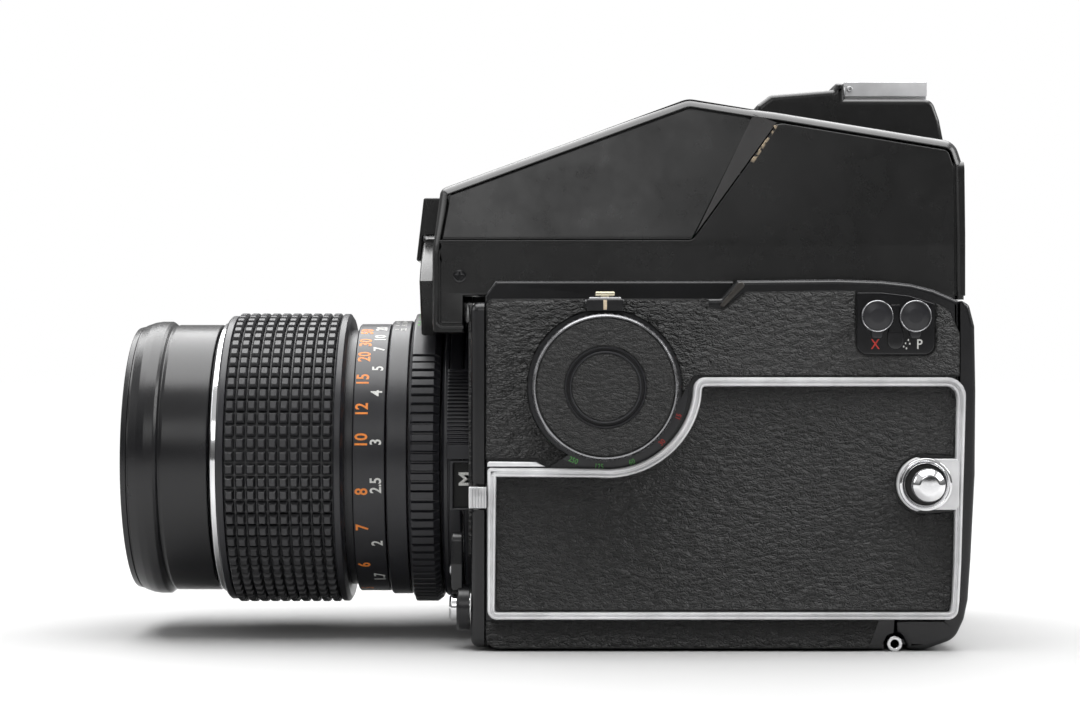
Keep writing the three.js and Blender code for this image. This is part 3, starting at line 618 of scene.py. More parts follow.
def focus_ring():
    ring_piece("focus_barrel_shell", [(28.0, -111.3), (32.5, -111.3, 0.3), (33.0, -110.8, 0.3),
            (33.0, -109.6, 0.2), (32.7, -109.4), (31.8, -109.4), (31.8, -85.3), (33.1, -85.3, 0.2),
            (33.5, -84.9, 0.2), (33.5, -83.7, 0.3), (32.4, -83.0, 0.3), (29.6, -83.0), (29.6, -81.2),
            (30.8, -81.2, 0.2), (31.1, -80.9, 0.2), (31.1, -74.1, 0.15), (30.9, -73.9), (28.0, -73.9)],
            "focus_ring", BLACK_METAL, ["focus_barrel"])
    ring_piece("bright_trim_ring", [(28.2, -112.7), (31.0, -112.7, 0.25), (31.3, -112.4, 0.25),
            (31.3, -111.3), (28.2, -111.3)], "focus_ring", BRIGHT, ["focus_trim_ring"])
    build("waffle_grip", about_y(waffle(72, 10, 32.0, 33.6, -109.4, -85.4)), "focus_ring", ("grip_rubber",
            RUBBER), ["focus_grip"], smooth=24)


def waffle(rows, columns, low, high, start, end):
    """A rubber sleeve of blunt four-sided points between grooves, about the y axis."""
    pitch, turn = (end - start) / columns, TURN / rows

    def place(angle, y, r):
        return (r * math.cos(angle), y, r * math.sin(angle))

    vertices = [place(turn * i, start + pitch * j, low) for i in range(rows) for j in range(columns + 1)]
    faces = []
    stud = rounded([(-1, -1, 0.2), (1, -1, 0.2), (1, 1, 0.2), (-1, 1, 0.2)], 2)
    for i in range(rows):
        for j in range(columns):
            corners = [(i % rows) * (columns + 1) + j, (i + 1) % rows * (columns + 1) + j,
                       (i + 1) % rows * (columns + 1) + j + 1, i * (columns + 1) + j + 1]
            rings = []
            for size, r in ((0.86, low), (0.82, high - 0.75), (0.58, high - 0.1), (0.5, high)):
                rings.append(range(len(vertices), len(vertices) + len(stud)))
                vertices += [place(turn * (i + 0.5 + u * size / 2),
                                   start + pitch * (j + 0.5 + v * size / 2), r)
                             for u, v in stud]
            quarter = len(stud) // 4
            for side in range(4):
                arc = [rings[0][(side * quarter + k) % len(stud)] for k in range(quarter)]
                following = rings[0][(side + 1) * quarter % len(stud)]
                faces += [(corners[side], b, a) for a, b in zip(arc, arc[1:])]
                faces.append((corners[side], corners[(side + 1) % 4], following, arc[-1]))
            for a, b in zip(rings, rings[1:]):
                faces += [(a[k], a[(k + 1) % len(stud)], b[(k + 1) % len(stud)], b[k])
                          for k in range(len(stud))]
            faces.append(tuple(rings[-1]))
    for j, base in ((0, start), (columns, end)):
        inner = range(len(vertices), len(vertices) + rows)
        vertices += [place(turn * i, base, low - 0.1) for i in range(rows)]
        edge = [i * (columns + 1) + j for i in range(rows)]
        faces += [(edge[i], edge[(i + 1) % rows], inner[(i + 1) % rows], inner[i]) for i in range(rows)]
        if j == 0:
            first = inner
    faces += [(first[i], first[(i + 1) % rows], inner[(i + 1) % rows], inner[i]) for i in range(rows)]
    return vertices, faces


def number_ring(name, marks, size, radius, y, body, finish):
    parts = [on_ring(lettering(text, size, bold=0.06), radius, degrees, y) for text, degrees in marks]
    build(name, merge(*parts), body, finish, weighted=False)


def bar(radius, degrees, y0, y1, width=0.28):
    """A thin painted line along the lens on a ring."""
    shape = [(-width / 2, 0), (width / 2, 0), (width / 2, y1 - y0), (-width / 2, y1 - y0)]
    return on_ring(slab([shape], -PAINT_DEPTH, PAINT_DEPTH, 0), radius, degrees, y1)


FEET = [("50", 70), ("30", 59), ("20", 49), ("15", 36), ("12", 22), ("10", 9), ("8", -12), ("7", -28),
        ("6", -49), ("5", -73), ("4", -106), ("3.5", -138), ("3", -170)]
METRES = [("20", 74), ("10", 63), ("7", 54), ("5", 42), ("4", 29.5), ("3", 8.4), ("2.5", -9.4), ("2",
        -36), ("1.7", -59), ("1.5", -80), ("1.2", -116), ("1", -150)]
STOPS = [("22", 21), ("16", 15.5), ("11", 10.5), ("8", 6.5), ("4", 3)]


def lens_scales():
    number_ring("feet_scale", FEET, 3.9, FOCUS_R, -79.0, "focus_ring", ("anodised_black", ORANGE))
    number_ring("metre_scale", METRES, 3.5, FOCUS_R, -75.8, "focus_ring", WHITE_MARKS)
    depth = [(text, 90 + s * angle) for text, angle in STOPS for s in (-1, 1)]
    number_ring("depth_of_field_scale", depth, 1.7, DEPTH_R, -70.7, "camera_body", WHITE_MARKS)
    lines = [bar(DEPTH_R, 90 + s * angle, -72.7, -71.9) for _, angle in STOPS for s in (-1, 1)]
    build("depth_of_field_marks", merge(bar(DEPTH_R, 90, -72.7, -69.3, 0.4), *lines), "camera_body",
            WHITE_MARKS, weighted=False)
    apertures = ["22", "16", "11", "8", "5.6", "4", "2.4"]
    marks = [(text, 112 - 7.3 * k) for k, text in enumerate(apertures)]
    number_ring("aperture_scale", marks, 2.6, APERTURE_R, -66.4, "aperture_ring", ("anodised_black", GREEN))


def fixed_rings():
    ring_piece("depth_scale_shell", [(28.8, -73.6), (31.5, -73.6, 0.15), (31.8, -73.3, 0.15),
            (31.8, -69.2, 0.15), (31.6, -69.0), (28.8, -69.0)], "camera_body", BLACK_METAL,
            ["depth_scale_ring"])

    def fluted(radius, place, angle):
        up = math.degrees(angle) % 360
        phase = angle * FLUTES / TURN % 1
        cut = radius > 32.9 and not 48 < up < 132 and phase < 0.245 and place < -62.3
        return radius - 0.75 if cut else radius

    ring_piece("aperture_ring_shell", [(29.0, -68.6), (32.2, -68.6, 0.2), (32.6, -68.2, 0.1),
            (33.4, -68.1, 0.2), (33.5, -67.7, 0.15), (33.5, -63.1, 0.2), (32.5, -61.8, 0.3),
            (32.0, -61.6), (29.0, -61.6)], "aperture_ring", BLACK_METAL, ["aperture_ring"], FLUTES * 8,
            fluted)
    ring_piece("lens_tube", [(22.6, -100, 0.2), (25.2, -100, 0.2), (25.2, -73.6), (28.6, -73.6),
            (28.6, -61.3), (31.6, -61.3, 0.3), (32.2, -60.7, 0.3), (32.2, -59.9, 0.1), (31.9, -59.8),
            (31.9, -59.6), (32.2, -59.5, 0.1), (32.2, -57.2, 0.3), (31.8, -56.8), (22.6, -56.8)],
            "camera_body", BLACK_METAL, ["lens_barrel"])
    ring_piece("throat_ring", [(29.4, -56.5), (31.4, -56.5, 0.2), (31.8, -56.1, 0.2), (31.8, -54.4),
            (29.4, -54.4)], "camera_body", BLACK_METAL, ["mount_ring"])
    ring_piece("lens_bayonet_ring", [(22.6, -56.8), (29.0, -56.8), (29.0, -52.6, 0.3), (28.7, -52.2),
            (22.6, -52.2)], "camera_body", BARE_STEEL, ["lens_bayonet"])
    leaves = [(11 * math.cos(TURN * k / 8 + 0.2), 11 * math.sin(TURN * k / 8 + 0.2)) for k in range(8)]
    plate = slab([circle(0, 0, 22.3, 64), leaves], 77.6, 78.4, 0.05, steps=1)
    build("iris_leaves", moved(plate, lambda u, v, w: (u, -w, AXIS_Z + v)), "camera_body", DARK_STEEL,
            ["iris_plate"])
    rear = [(22.4, -60.0, 0.3), (22.4, -64.0), (0, -64.0)]
    ring_piece("rear_lens", dome(22.4, -57.5, -2.5, 20)[:-1] + rear, "camera_body", REAR_LENS,
            ["rear_element"])


def mode_lever():
    """The ribbed auto and manual slide beside the mount, above the window that shows its letter."""
    rows, rings = 96, []
    for k in range(rows + 1):
        angle = math.radians(1.6 + 35.4 * k / rows)
        smooth_end = k < 13 or k > rows - 3
        outer = 34.4 if smooth_end or k % 4 in (1, 2) else 33.9
        section = rounded([(32.6, -60.0, 0.1), (outer, -60.0, 0.4), (outer, -54.8, 0.4),
                (32.6, -54.8, 0.1)], 3)
        rings.append([(r * math.cos(angle), y, AXIS_Z + r * math.sin(angle)) for r, y in section])
    solid = stacked(rings)
    count = len(rings[0])
    ends = [tuple(range(count)), tuple(range(rows * count, rows * count + count))]
    build("mode_slide", (solid[0], solid[1] + ends), "mode_lever", BLACK_METAL, ["auto_manual_lever"],
            smooth=30)
    rim = rounded([(-59.4, 29.6, 0.5), (-54.8, 29.6, 0.3), (-54.8, 40.6, 0.3), (-59.4, 40.6, 0.5)])
    pane = rounded([(-58.6, 30.1, 0.3), (-54.95, 30.1, 0.2), (-54.95, 40.1, 0.2), (-58.6, 40.1, 0.3)])
    build("mode_window_rim", side_slab([rim, pane], (31.4, 34.2), 0.2), "camera_body", BLACK_METAL)
    build("mode_window_pane", side_slab([pane], (31.4, 33.4), 0.05, steps=1), "camera_body",
            ("anodised_black", DARK))
    letter = lettering("M", 4.3, narrow=1.0, bold=0.06)
    letter = moved(letter, lambda u, v, w: (33.4 + w, -55.7 - v, 36.5 + u))
    build("mode_letter", letter, "camera_body", WHITE_MARKS, weighted=False)


def lens():
    hood()
    front_group()
    focus_ring()
    lens_scales()
    fixed_rings()
    mode_lever()


# ---------------------------------------------------------------- body

# The lower panel's outer edge, and the arc with which it curls under the shutter dial.
FRAME = {"left": -50.8, "right": 52.1, "low": 6.9, "step": 39.55, "top": 59.0}
ARC_Y, ARC_Z, ARC_R = DIAL_Y + 0.6, DIAL_Z + 0.9, 18.5


def panel_corners(depth, notch=()):
    """The lower panel in (y, z), at a depth inside the chrome frame's outer edge."""
    left, right, low, top = (FRAME["left"] + depth, FRAME["right"] - depth, FRAME["low"] + depth,
                             FRAME["top"] - depth)
    curl = arc(ARC_Y, ARC_Z, ARC_R + depth, 264, 85, 24)
    return [(left, low, 2), (left, FRAME["step"] - depth, 0.8)] + curl + [(-6.3 + depth, top, 2.6),
            (right, top, 4)] + list(notch) + [(right - 1.1, 19.8), (right - 1.5, 10.9),
            (right - 2.0, low, 4)]


def oriented(loop):
    return loop if area(loop) > 0 else loop[::-1]


def around_stud(radius):
    """The half circle round the strap stud, from above it to below it."""
    return arc(LUG_Y, LUG_Z, radius, 90, 180, 20)


def chrome_frame():
    """A strip with an outer and an inner ridge, and a plate that carries the strap stud."""
    base = oriented(rounded(panel_corners(0)))
    profile = [(0, 45.1), (0, 46.6), (0.14, 46.9), (0.36, 47.0), (0.56, 46.9), (0.7, 46.35),
            (0.92, 46.35), (1.04, 46.7), (1.22, 46.82), (1.42, 46.7), (1.58, 46.2), (1.6, 45.1)]

    def widening(depth):
        return lambda point: depth * (1.0 + 0.25 * min(1, max(0, (point[1] - 20) / 15)))

    rings = [[(x, *point) for point in inset(base, widening(depth))] for depth, x in profile]
    strip = stacked(rings, closed=True)
    step = rounded([(-50.8, 39.8), (-50.8, 40.9, 0.8), (-40.4, 40.8, 1.2), (-38.4, 39.8)], 4)
    plate = rounded([(LUG_Y, 30.5), (50.6, 30.5, 1), (50.6, 41.5, 1),
                     (LUG_Y, 41.5)] + around_stud(6.1)[2:-2], 4)
    # The strip and the stud plate are chrome shown as near-white paint: a painted reflection.
    build("chrome_strip", merge(strip, side_slab([step], (45.2, 46.85), 0.3)), "camera_body", TRIM_PAINTED_REFLECTION,
            ["left_chrome_frame"])
    build("stud_plate", side_slab([plate, circle(LUG_Y, LUG_Z, 4.4)], (45.3, 46.95), 0.3), "camera_body",
            TRIM_PAINTED_REFLECTION)


def lower_leather():
    notch = [(49.6, 42.0)] + around_stud(6.4) + [(49.5, 30.0)]
    panel = side_slab([rounded(panel_corners(1.75, notch))], (COVER_FACE, LEATHER_FACE), 0.45)
    build("lower_panel_leather", panel, "camera_body", HIDE, ["left_leather_lower"])
    strip = rounded([(-51.2, 0.6, 2.6), (31.2, 0.6, 1.5), (33.4, 6.6), (-51.2, 6.6)])
    build("lower_strip_leather", side_slab([strip], (COVER_FACE, LEATHER_FACE), 0.4), "camera_body", HIDE,
            ["left_leather_strip"])


TOP_LINE = [(-51.2, 75.9, 1.6), (-2.5, 75.9, 0.4), (-3.4, 74.2, 0.4), (-0.4, 73.6, 0.5), (4.6, 77.4, 0.5),
        (25, 77.7), (34, 77.4), (40, 76.7), (44.6, 75.5), (48.6, 73.4, 1), (50.8, 68.5)]


def top_wrap(y, z):
    """How far a side panel's top edge is rounded over the body."""
    return 1.9 if z > 74.5 and y < 1 else (0.9 if z > 72 else 0.4)


def upper_leather():
    index = [(DIAL_Y - 4.2, 75.9), (DIAL_Y - 4.2, 74.2), (DIAL_Y + 4.2, 74.2), (DIAL_Y + 4.2, 75.9)]
    sockets = [(28.5, 77.6), (28.5, 63.7, 2.4), (45.6, 63.7, 2.4), (45.6, 75.1)]
    dial = arc(DIAL_Y, DIAL_Z, 16.6, 242, -251, 60)
    below = [(-51.2, 41.3), (-40.2, 41.3), (-37.6, 39.6)] + dial + [(-7.4, 57.6),
            (-6.4, FRAME["top"] + 0.2, 1.0), (50.8, FRAME["top"] + 0.2)]
    outline = rounded(TOP_LINE[:1] + index + TOP_LINE[1:6] + sockets + TOP_LINE[9:] + below[::-1])

    def low(point):
        if math.dist(point, (DIAL_Y, DIAL_Z)) < 24:
            return 45.65
        return min(45.2, 46 - top_wrap(*point))

    panel = side_slab([outline], (low, 46.0), lambda p: min(top_wrap(*p), 46 - low(p)), steps=5)
    build("upper_panel_leather", panel, "camera_body", HIDE, ["left_leather_upper"])


def cover_loop():
    return rounded([(-51.4, 0.4, 3), (-51.4, 76, 1.6), (-0.5, 76, 0.4), (3.0, 79.8, 0.4), (25, 80),
            (34, 79.7), (40.5, 79), (45.2, 77.8), (50.8, 75.4, 0.3), (50.8, 11.4, 0.5), (46.8, 6.7, 0.5),
            (37.0, 6.7), (36.8, 3.9), (35.3, 3.2), (34.6, 1.8), (34.8, 0.4)])


def covers():
    def edge(point):
        y, z = point
        if y > 49 and z < 75:
            return 0.12
        return 1.7 if z > 74.5 and y < -1 else (1.0 if z > 74 else 0.45)

    for side, sign in (("left", 1), ("right", -1)):
        part = side_slab([cover_loop()], (40.7, 45.2), edge, steps=5)
        build(side + "_side_cover", part if sign > 0 else flipped(part), "camera_body", COVER,
                [side + "_cover"])
    rail = side_slab([rounded([(-51.4, 73), (-51.4, 76.6, 0.5), (-49.0, 79.8, 0.9), (2.6, 79.8, 0.4),
            (2.6, 73)])], (39.76, 40.9), 0.6, foot=0.3, steps=4)
    build("deck_rails", merge(rail, flipped(rail)), "camera_body", ("die_cast_black", GLOSS))
    # Thin strips of dull metal along the covers' top edges and along the rails, put there for the bright
    # line where those edges catch the light: a painted highlight.
    top_edge = [(3.0, 79.84), (25, 80.06), (34, 79.76), (40.5, 79.06), (45.2, 77.86), (49.6, 76.0)]
    rail_edge = [(-51.0, 77.2), (-49.1, 79.84), (2.4, 79.84)]
    lines = merge(*[side_slab([path + offset_path(path, 0.35)[::-1]], x, 0)
                    for path, x in ((top_edge, (44.2, 44.6)), (rail_edge, (40.2, 40.5)))])
    build("cover_highlight_strips", merge(lines, flipped(lines)), "camera_body", ("cover_black", EDGE_METAL))
    ramp_edge = rounded([(-0.9, 74.3, 0.3), (0.1, 74.0, 0.4), (4.6, 78.6, 0.5), (4.2, 79.6, 0.5),
            (3.2, 79.4, 0.3)])
    build("cover_ramp_edge", side_slab([ramp_edge], (45.0, 45.75), 0.35), "camera_body", ("cover_black",
            WORN))


def right_side():
    panel = rounded([(-51.2, 0.6, 2.6)] + TOP_LINE + [(50.6, 10), (46.6, 7), (33.6, 7), (31.2, 0.6)])
    loops = [panel, circle(LUG_Y, LUG_Z, 6.0), circle(WIND_Y, WIND_Z, 6.0)]
    part = side_slab(loops, (lambda p: min(45.2, 46 - top_wrap(*p)), 46.0), lambda p: top_wrap(*p), steps=5)
    build("right_panel_leather", flipped(part), "camera_body", HIDE, ["right_leather"])
    washer = about_x(turned([(5.6, -45.3), (17.6, -45.3), (17.6, -46.1, 0.2), (17.2, -46.3, 0.1),
            (5.6, -46.3)], 96), WIND_Y, WIND_Z)
    build("knob_washer", washer, "camera_body", BRIGHT)

    def milled(radius, place, angle):
        on_rim = radius > 14 and place > -52.6
        return radius - 0.28 * (1 + math.cos(angle * KNOB_TEETH)) if on_rim else radius

    knob = about_x(turned([(0, -45.4), (5.6, -45.4), (5.6, -46.5), (15.5, -46.5, 0.3), (15.5, -51.6, 0.3),
            (14.0, -53.2, 0.3), (12.9, -53.2, 0.1), (12.6, -52.9, 0.1), (0, -52.9)], 480, shape=milled),
            WIND_Y, WIND_Z)
    build("milled_wind_knob", knob, "wind_knob", BLACK_METAL, ["wind_knob"])
    y = 6.0
    arm = rounded([(y - 1.6, WIND_Z - 3.4, 1), (27, WIND_Z - 3.4, 3), (27, WIND_Z + 3.4, 3),
            (y - 1.6, WIND_Z + 3.4, 1)])
    crank = merge(side_slab([arm, circle(y + 1.6, WIND_Z, 1.0, 24)], (53.5, 55.3), 0.5, foot=0.3),
            about_x(turned([(0, 53.2), (1.4, 53.2), (1.4, 55.0, 0.3), (0, 55.1)], 32), y + 1.6, WIND_Z),
            about_x(turned([(0, 52.95), (3.4, 52.95, 0.2), (3.4, 54), (0, 54)], 48), WIND_Y + 8.6, WIND_Z))
    build("folding_crank", flipped(crank), "wind_crank", BRIGHT, ["wind_crank"])
    lug = about_x(turned([(0, 45.2), (5.4, 45.2), (5.4, 47.1, 0.3), (4.6, 47.4, 0.3), (2.8, 47.5, 0.6),
            (2.2, 49.6, 0.4), (3.6, 50.3, 0.4), (3.6, 51.7, 0.9), (2.2, 53.0, 0.6), (0, 53.0)], 64),
            LUG_Y, LUG_Z)
    build("right_strap_stud", flipped(lug), "camera_body", BRIGHT, ["strap_lug_right"])


def left_stud():
    base = about_x(turned([(0, 45.2), (4.3, 45.2), (4.4, 47.0), (5.7, 47.0), (5.7, 47.9, 0.3),
            (5.2, 48.1, 0.2), (4.6, 47.9, 0.2), (4.2, 47.3, 0.2), (2.4, 47.2, 0.2), (2.2, 49.4, 0.6),
            (3.6, 50.2, 0.5), (3.6, 51.7, 0.9), (2.2, 53.0, 0.9), (0, 53.0)], 64), LUG_Y, LUG_Z)
    build("left_strap_stud", base, "camera_body", BRIGHT, ["strap_lug_left"])
    washer = about_x(turned([(2.3, 47.0), (4.1, 47.0), (4.1, 47.5, 0.1), (2.3, 47.5, 0.1)], 64), LUG_Y,
            LUG_Z)
    build("left_stud_washer", washer, "camera_body", DARK_STEEL)


def sync_sockets():
    y0, y1, z0 = 28.7, 45.4, 63.9
    plate = side_slab([rounded([(y0, 77.2, 0.3), (y0, z0, 2.2), (y1, z0, 2.2), (y1, 74.8, 0.3),
            (40, 76.5), (34, 77.2)])], (45.2, 45.9), 0.2)
    build("sync_socket_plate", plate, "camera_body", SYNC_BLACK, ["sync_plate"])
    for name, y in (("sync_cap_x", 32.9), ("sync_cap_bulb", 41.1)):
        z = 72.1
        cap = about_x(turned([(0, 46.1), (3.4, 46.1), (3.4, 47.3, 0.15), (3.15, 47.5, 0.1),
                (3.0, 47.3, 0.1), (2.8, 47.35, 0.2), (1.6, 47.7, 1.0), (0, 47.75)], 64), y, z)
        tail = side_slab([rounded([(y - 1.3, z - 3), (y - 1.0, z - 4.7, 0.6), (y + 1.0, z - 4.7, 0.6),
                (y + 1.3, z - 3)])], (46.1, 46.8), 0.2)
        build(name + "_dome", merge(cap, tail), name, ("gloss_black", ANODISED), [name])
        rim = about_x(turned([(3.2, 47.3), (3.4, 47.3), (3.42, 47.45, 0.05), (3.3, 47.58, 0.05),
                (3.2, 47.5)], 64), y, z)
        build(name + "_rim", rim, name, ("chrome", EDGE_METAL))
    y = 36.9
    tongue = rounded([(y - 1.0, 74.6), (y - 1.0, 71.0), (y - 1.7, 68.6, 1), (y - 1.7, 65.0, 1.7),
            (y + 1.7, 65.0, 1.7), (y + 1.7, 68.6, 1), (y + 1.0, 71.0), (y + 1.0, 74.6)])
    build("sync_tongue", side_slab([tongue], (45.8, 46.5), 0.25), "camera_body", SYNC_BLACK)
    for name, text, y, z, material in (("sync_letter_x", "X", 32.6, 66.0, RED),
                                       ("sync_letter_p", "P", 42.1, 66.0, WHITE)):
        letter = moved(lettering(text, 3.0), lambda u, v, w, y=y, z=z: (45.9 + w, y + u, z + v))
        build(name, letter, "camera_body", ("gloss_black", material), weighted=False)
    dots = [block((45.88, 45.93), (y - 0.14, y + 0.14), (z - 0.2, z + 0.2), 0.02, 1) for y,
            z in ((38.7, 65.6), (39.1, 66.3), (39.7, 67.0), (39.3, 65.2), (40.0, 66.2))]
    build("sync_marks", merge(*dots), "camera_body", ("gloss_black", WHITE), weighted=False)


SPEEDS = [("500", -46), ("250", -23), ("125", -4), ("60", 20), ("30", 46), ("15", 68), ("8", 90), ("4",
        112), ("2", 134), ("1", 156), ("B", 178)]


def shutter_dial():
    def knurl(radius, place, angle):
        on_rim = 15.7 < radius < 16 and place > 50.6
        return radius - 0.16 * (1 + math.cos(angle * DIAL_TEETH)) if on_rim else radius

    # the knob stands on a thin skirt that carries the speeds
    profile = [(0, 45.22), (18.0, 45.22), (18.0, 45.38, 0.05), (15.5, 45.38), (15.5, 50.5),
            (15.8, 50.8, 0.1), (15.8, 51.6, 0.15), (15.2, 52.95, 0.1), (14.9, 52.95), (14.8, 52.6),
            (8.65, 52.6), (8.6, 53.1, 0.05), (8.4, 53.1, 0.05), (8.35, 51.0), (7.7, 51.0),
            (7.65, 53.1, 0.1), (7.35, 53.2, 0.1), (7.3, 52.9), (0, 52.9)]
    build("shutter_dial_knob", about_x(turned(profile, 700, 3, knurl), DIAL_Y, DIAL_Z), "shutter_dial",
            BLACK_METAL, ["shutter_dial"])
    # A band of lighter metal round the knob's upper edge, for the bright line along it where it faces the
    # light: a painted highlight.
    edge = [(15.0, 52.0), (15.5, 52.0), (15.55, 52.5, 0.1), (15.2, 53.06, 0.12), (14.9, 53.08), (14.9, 52.6)]
    build("dial_edge_band", about_x(turned(edge, 200), DIAL_Y, DIAL_Z), "shutter_dial", ("anodised_black",
            EDGE_METAL))
    annulus = about_x(turned([(8.7, 52.55), (14.75, 52.55), (14.75, 52.95, 0.15), (14.4, 53.15, 0.15),
            (9.0, 53.2, 0.2), (8.7, 53.0, 0.1)], 160), DIAL_Y, DIAL_Z)
    disc = about_x(turned([(0, 52.85), (7.25, 52.85), (7.25, 53.0, 0.1), (7.0, 53.12, 0.1), (0, 53.2)],
            96), DIAL_Y, DIAL_Z)
    build("dial_leather_top", merge(annulus, disc), "shutter_dial", ("leatherette", FINE_LEATHER),
            ["dial_leather"])
    for name, marks, material in (("slow_speeds", SPEEDS[:4], GREEN), ("fast_speeds", SPEEDS[4:], RED)):
        parts = []
        for text, degrees in marks:
            angle = math.radians(degrees - 90)

            def bend(u, v, w, angle=angle):
                turn, reach = angle + u / SPEED_R, SPEED_R - v
                return (SPEED_FACE + w, DIAL_Y + reach * math.cos(turn), DIAL_Z + reach * math.sin(turn))

            parts.append(moved(lettering(text, 1.6), bend))
        build(name, merge(*parts), "shutter_dial", ("anodised_black", material), weighted=False)


def dial_index():
    y0, y1 = DIAL_Y - 3.9, DIAL_Y + 3.9
    shape = rounded([(45.3, 74.5), (45.3, 75.8), (50.2, 75.8, 0.5), (50.2, 73.0, 0.3), (48.9, 73.0, 0.2),
            (48.9, 74.5, 0.3)])
    part = moved(slab([shape], y0, y1, 0.3, foot=0.3), lambda u, v, w: (u, w, v))
    build("dial_index_bracket", part, "camera_body", COVER, ["dial_index_block"])
    lid = block((45.4, 50.0), (y0 + 0.5, y1 - 0.5), (75.7, 76.1), 0.12)
    build("dial_index_lid", lid, "camera_body", ("cover_black", STEEL))
    line = block((50.1, 50.24), (DIAL_Y - 0.38, DIAL_Y + 0.38), (73.4, 75.5), 0.03, 1)
    build("dial_index_line", line, "camera_body", ("cover_black", CREAM), weighted=False)
    button = merge(block((47.0, 49.6), (DIAL_Y - 2.1, DIAL_Y + 2.1), (76.4, 77.3), 0.3),
            block((47.5, 49.1), (DIAL_Y - 0.9, DIAL_Y + 0.9), (75.9, 76.7), 0.1))
    build("dial_lock_tab", button, "dial_lock", ("steel", GILT), ["dial_lock_button"])


def front_controls():
    x, z = TIMER_X, TIMER_Z
    hub = arc(x, z, 4.6, 60, 60, 6)
    arm = rounded([(x - 3.0, z + 9.5, 3), (x - 2.2, z + 16.4, 2.2), (x + 2.2, z + 16.4, 2.2),
            (x + 3.0, z + 9.5, 3)] + hub)
    lever = merge(front_slab([arm], (-58.8, -56.3), 0.6, foot=0.3), about_y(turned([(3.8, -57.3, 0.1),
            (4.5, -57.6, 0.2), (5.0, -57.1, 0.3), (5.0, -54.8), (3.8, -54.8)], 64), x, z))
    build("timer_lever", lever, "self_timer", BLACK_PAINT, ["self_timer_lever"])
    screw_head = about_y(turned([(0, -58.75), (0, -59.1), (1.0, -59.1, 0.2), (1.2, -58.75)], 32), x, z + 8.2)
    build("timer_screw", screw_head, "self_timer", BARE_STEEL)
    button = about_y(turned([(0, -58.9), (1.6, -59.0, 0.4), (2.3, -59.2, 0.2), (2.9, -58.7, 0.3),
            (2.9, -54.7), (0, -54.7)], 48), x, z)
    build("front_release_button", button, "front_release", BRIGHT, ["release_button"])
    ridges = []
    for k in range(5):
        y = -54.4 + 0.62 * k
        ridges += [(48.3, y, 0.1), (48.3, y + 0.34, 0.1), (48.0, y + 0.42), (48.0, y + 0.54)]
    tab = rounded([(43.7, -54.8, 0.4), (48.0, -54.8, 0.3)] + ridges + [(48.3, -51.2), (48.3, -51.0),
            (47.3, -51.0), (47.3, -52.7), (43.7, -52.7)], 3)
    # The release tab is chrome shown as near-white paint: a painted reflection.
    build("lens_release_tab", slab([tab], 30.9, 35.5, 0.25, foot=0.25), "lens_catch", TRIM_PAINTED_REFLECTION,
            ["lens_release"])


def front_plate():
    face = rounded([(-45.6, 0.7, 2), (45.6, 0.7, 2), (45.6, 30.4), (43.4, 30.4, 0.3), (43.4, 36, 0.3),
            (45.6, 36), (45.6, 75.2, 2), (-45.6, 75.2, 2)])
    plate = front_slab([face, circle(0, AXIS_Z, 29.6, 128), circle(TIMER_X, TIMER_Z, 3.5, 32)],
                       (-54.4, -51.5), lambda p: 1.8 if abs(p[0]) > 42 or not 3 < p[1] < 73 else 0.2,
                       steps=5)
    build("front_plate", plate, "camera_body", ("die_cast_black", PAINT), ["front_frame"])
    pads = []
    for sign in (1, -1):
        low = 20 if sign > 0 else 4
        throat = [(sign * px, pz) for px, pz in arc(0, AXIS_Z, 33.6, -66, 132, 24) if low + 0.6 < pz < 70.4]
        pad = [(sign * 42.0, low, 1), (sign * 42.0, 71.2, 1), (throat[-1][0], 71.2, 0.3)]
        pad += throat[::-1] + [(throat[0][0], low, 0.3)]
        pads.append(front_slab([rounded(pad, 4)], (-55.0, -54.3), 0.35))
    build("front_leather", merge(*pads), "camera_body", HIDE)


def door():
    leaf = rounded([(39.5, 0.5, 0.6), (43.6, 0.3, 2), (49.9, 2.5, 4.5), (51.9, 6.8, 3), (52.8, 11),
            (53.4, 19.6), (54.3, 38, 20), (54.45, 56, 20), (54.2, 70, 2.4), (53.0, 74.7, 1.5),
            (51.0, 75.6, 0.3), (51.0, 10.6, 1), (47.4, 6.4, 0.6), (37.4, 6.4, 0.3), (37.2, 3.9),
            (38.4, 3.4), (39.3, 1.6)], 6)

    def edge(point):
        return 0.12 if point[0] < 51.5 and point[1] > 6 else 1.1

    shell = side_slab([leaf], (-45.2, 45.2), edge, foot=edge, steps=4)
    knuckle = block((-44, 44), (38, 39.9), (1.2, 2.6), 0.2)
    build("door_leaf", merge(shell, knuckle), "door", COVER, ["back_door"])
    panel = rear_slab([rounded([(-41, 36, 2), (41, 36, 2), (41, 58, 2), (-41, 58, 2)])], (54.2, 54.95), 0.4)
    build("door_panel_leather", panel, "door", HIDE, ["door_leather"])
    tube = about_x(turned([(0.9, -45.9, 0.15), (1.65, -45.9, 0.2), (1.65, 45.9, 0.2), (0.9, 45.9, 0.15)],
            40), HINGE_Y, HINGE_Z)
    build("hinge_pin_tube", tube, "door", BRIGHT, ["hinge_tube"])
    grip = [rear_slab([rounded([(-8, 62.2, 0.8), (8, 62.2, 0.8), (8, 67.4, 0.8), (-8, 67.4, 0.8)])],
            (54.4, 55.4), 0.3)]
    grip += [block((-6.6 + 1.2 * k, -6.0 + 1.2 * k), (55.2, 56.0), (62.9, 66.7), 0.2) for k in range(11)]
    build("door_latch_slide", merge(*grip), "latch", BLACK_METAL, ["door_latch"])


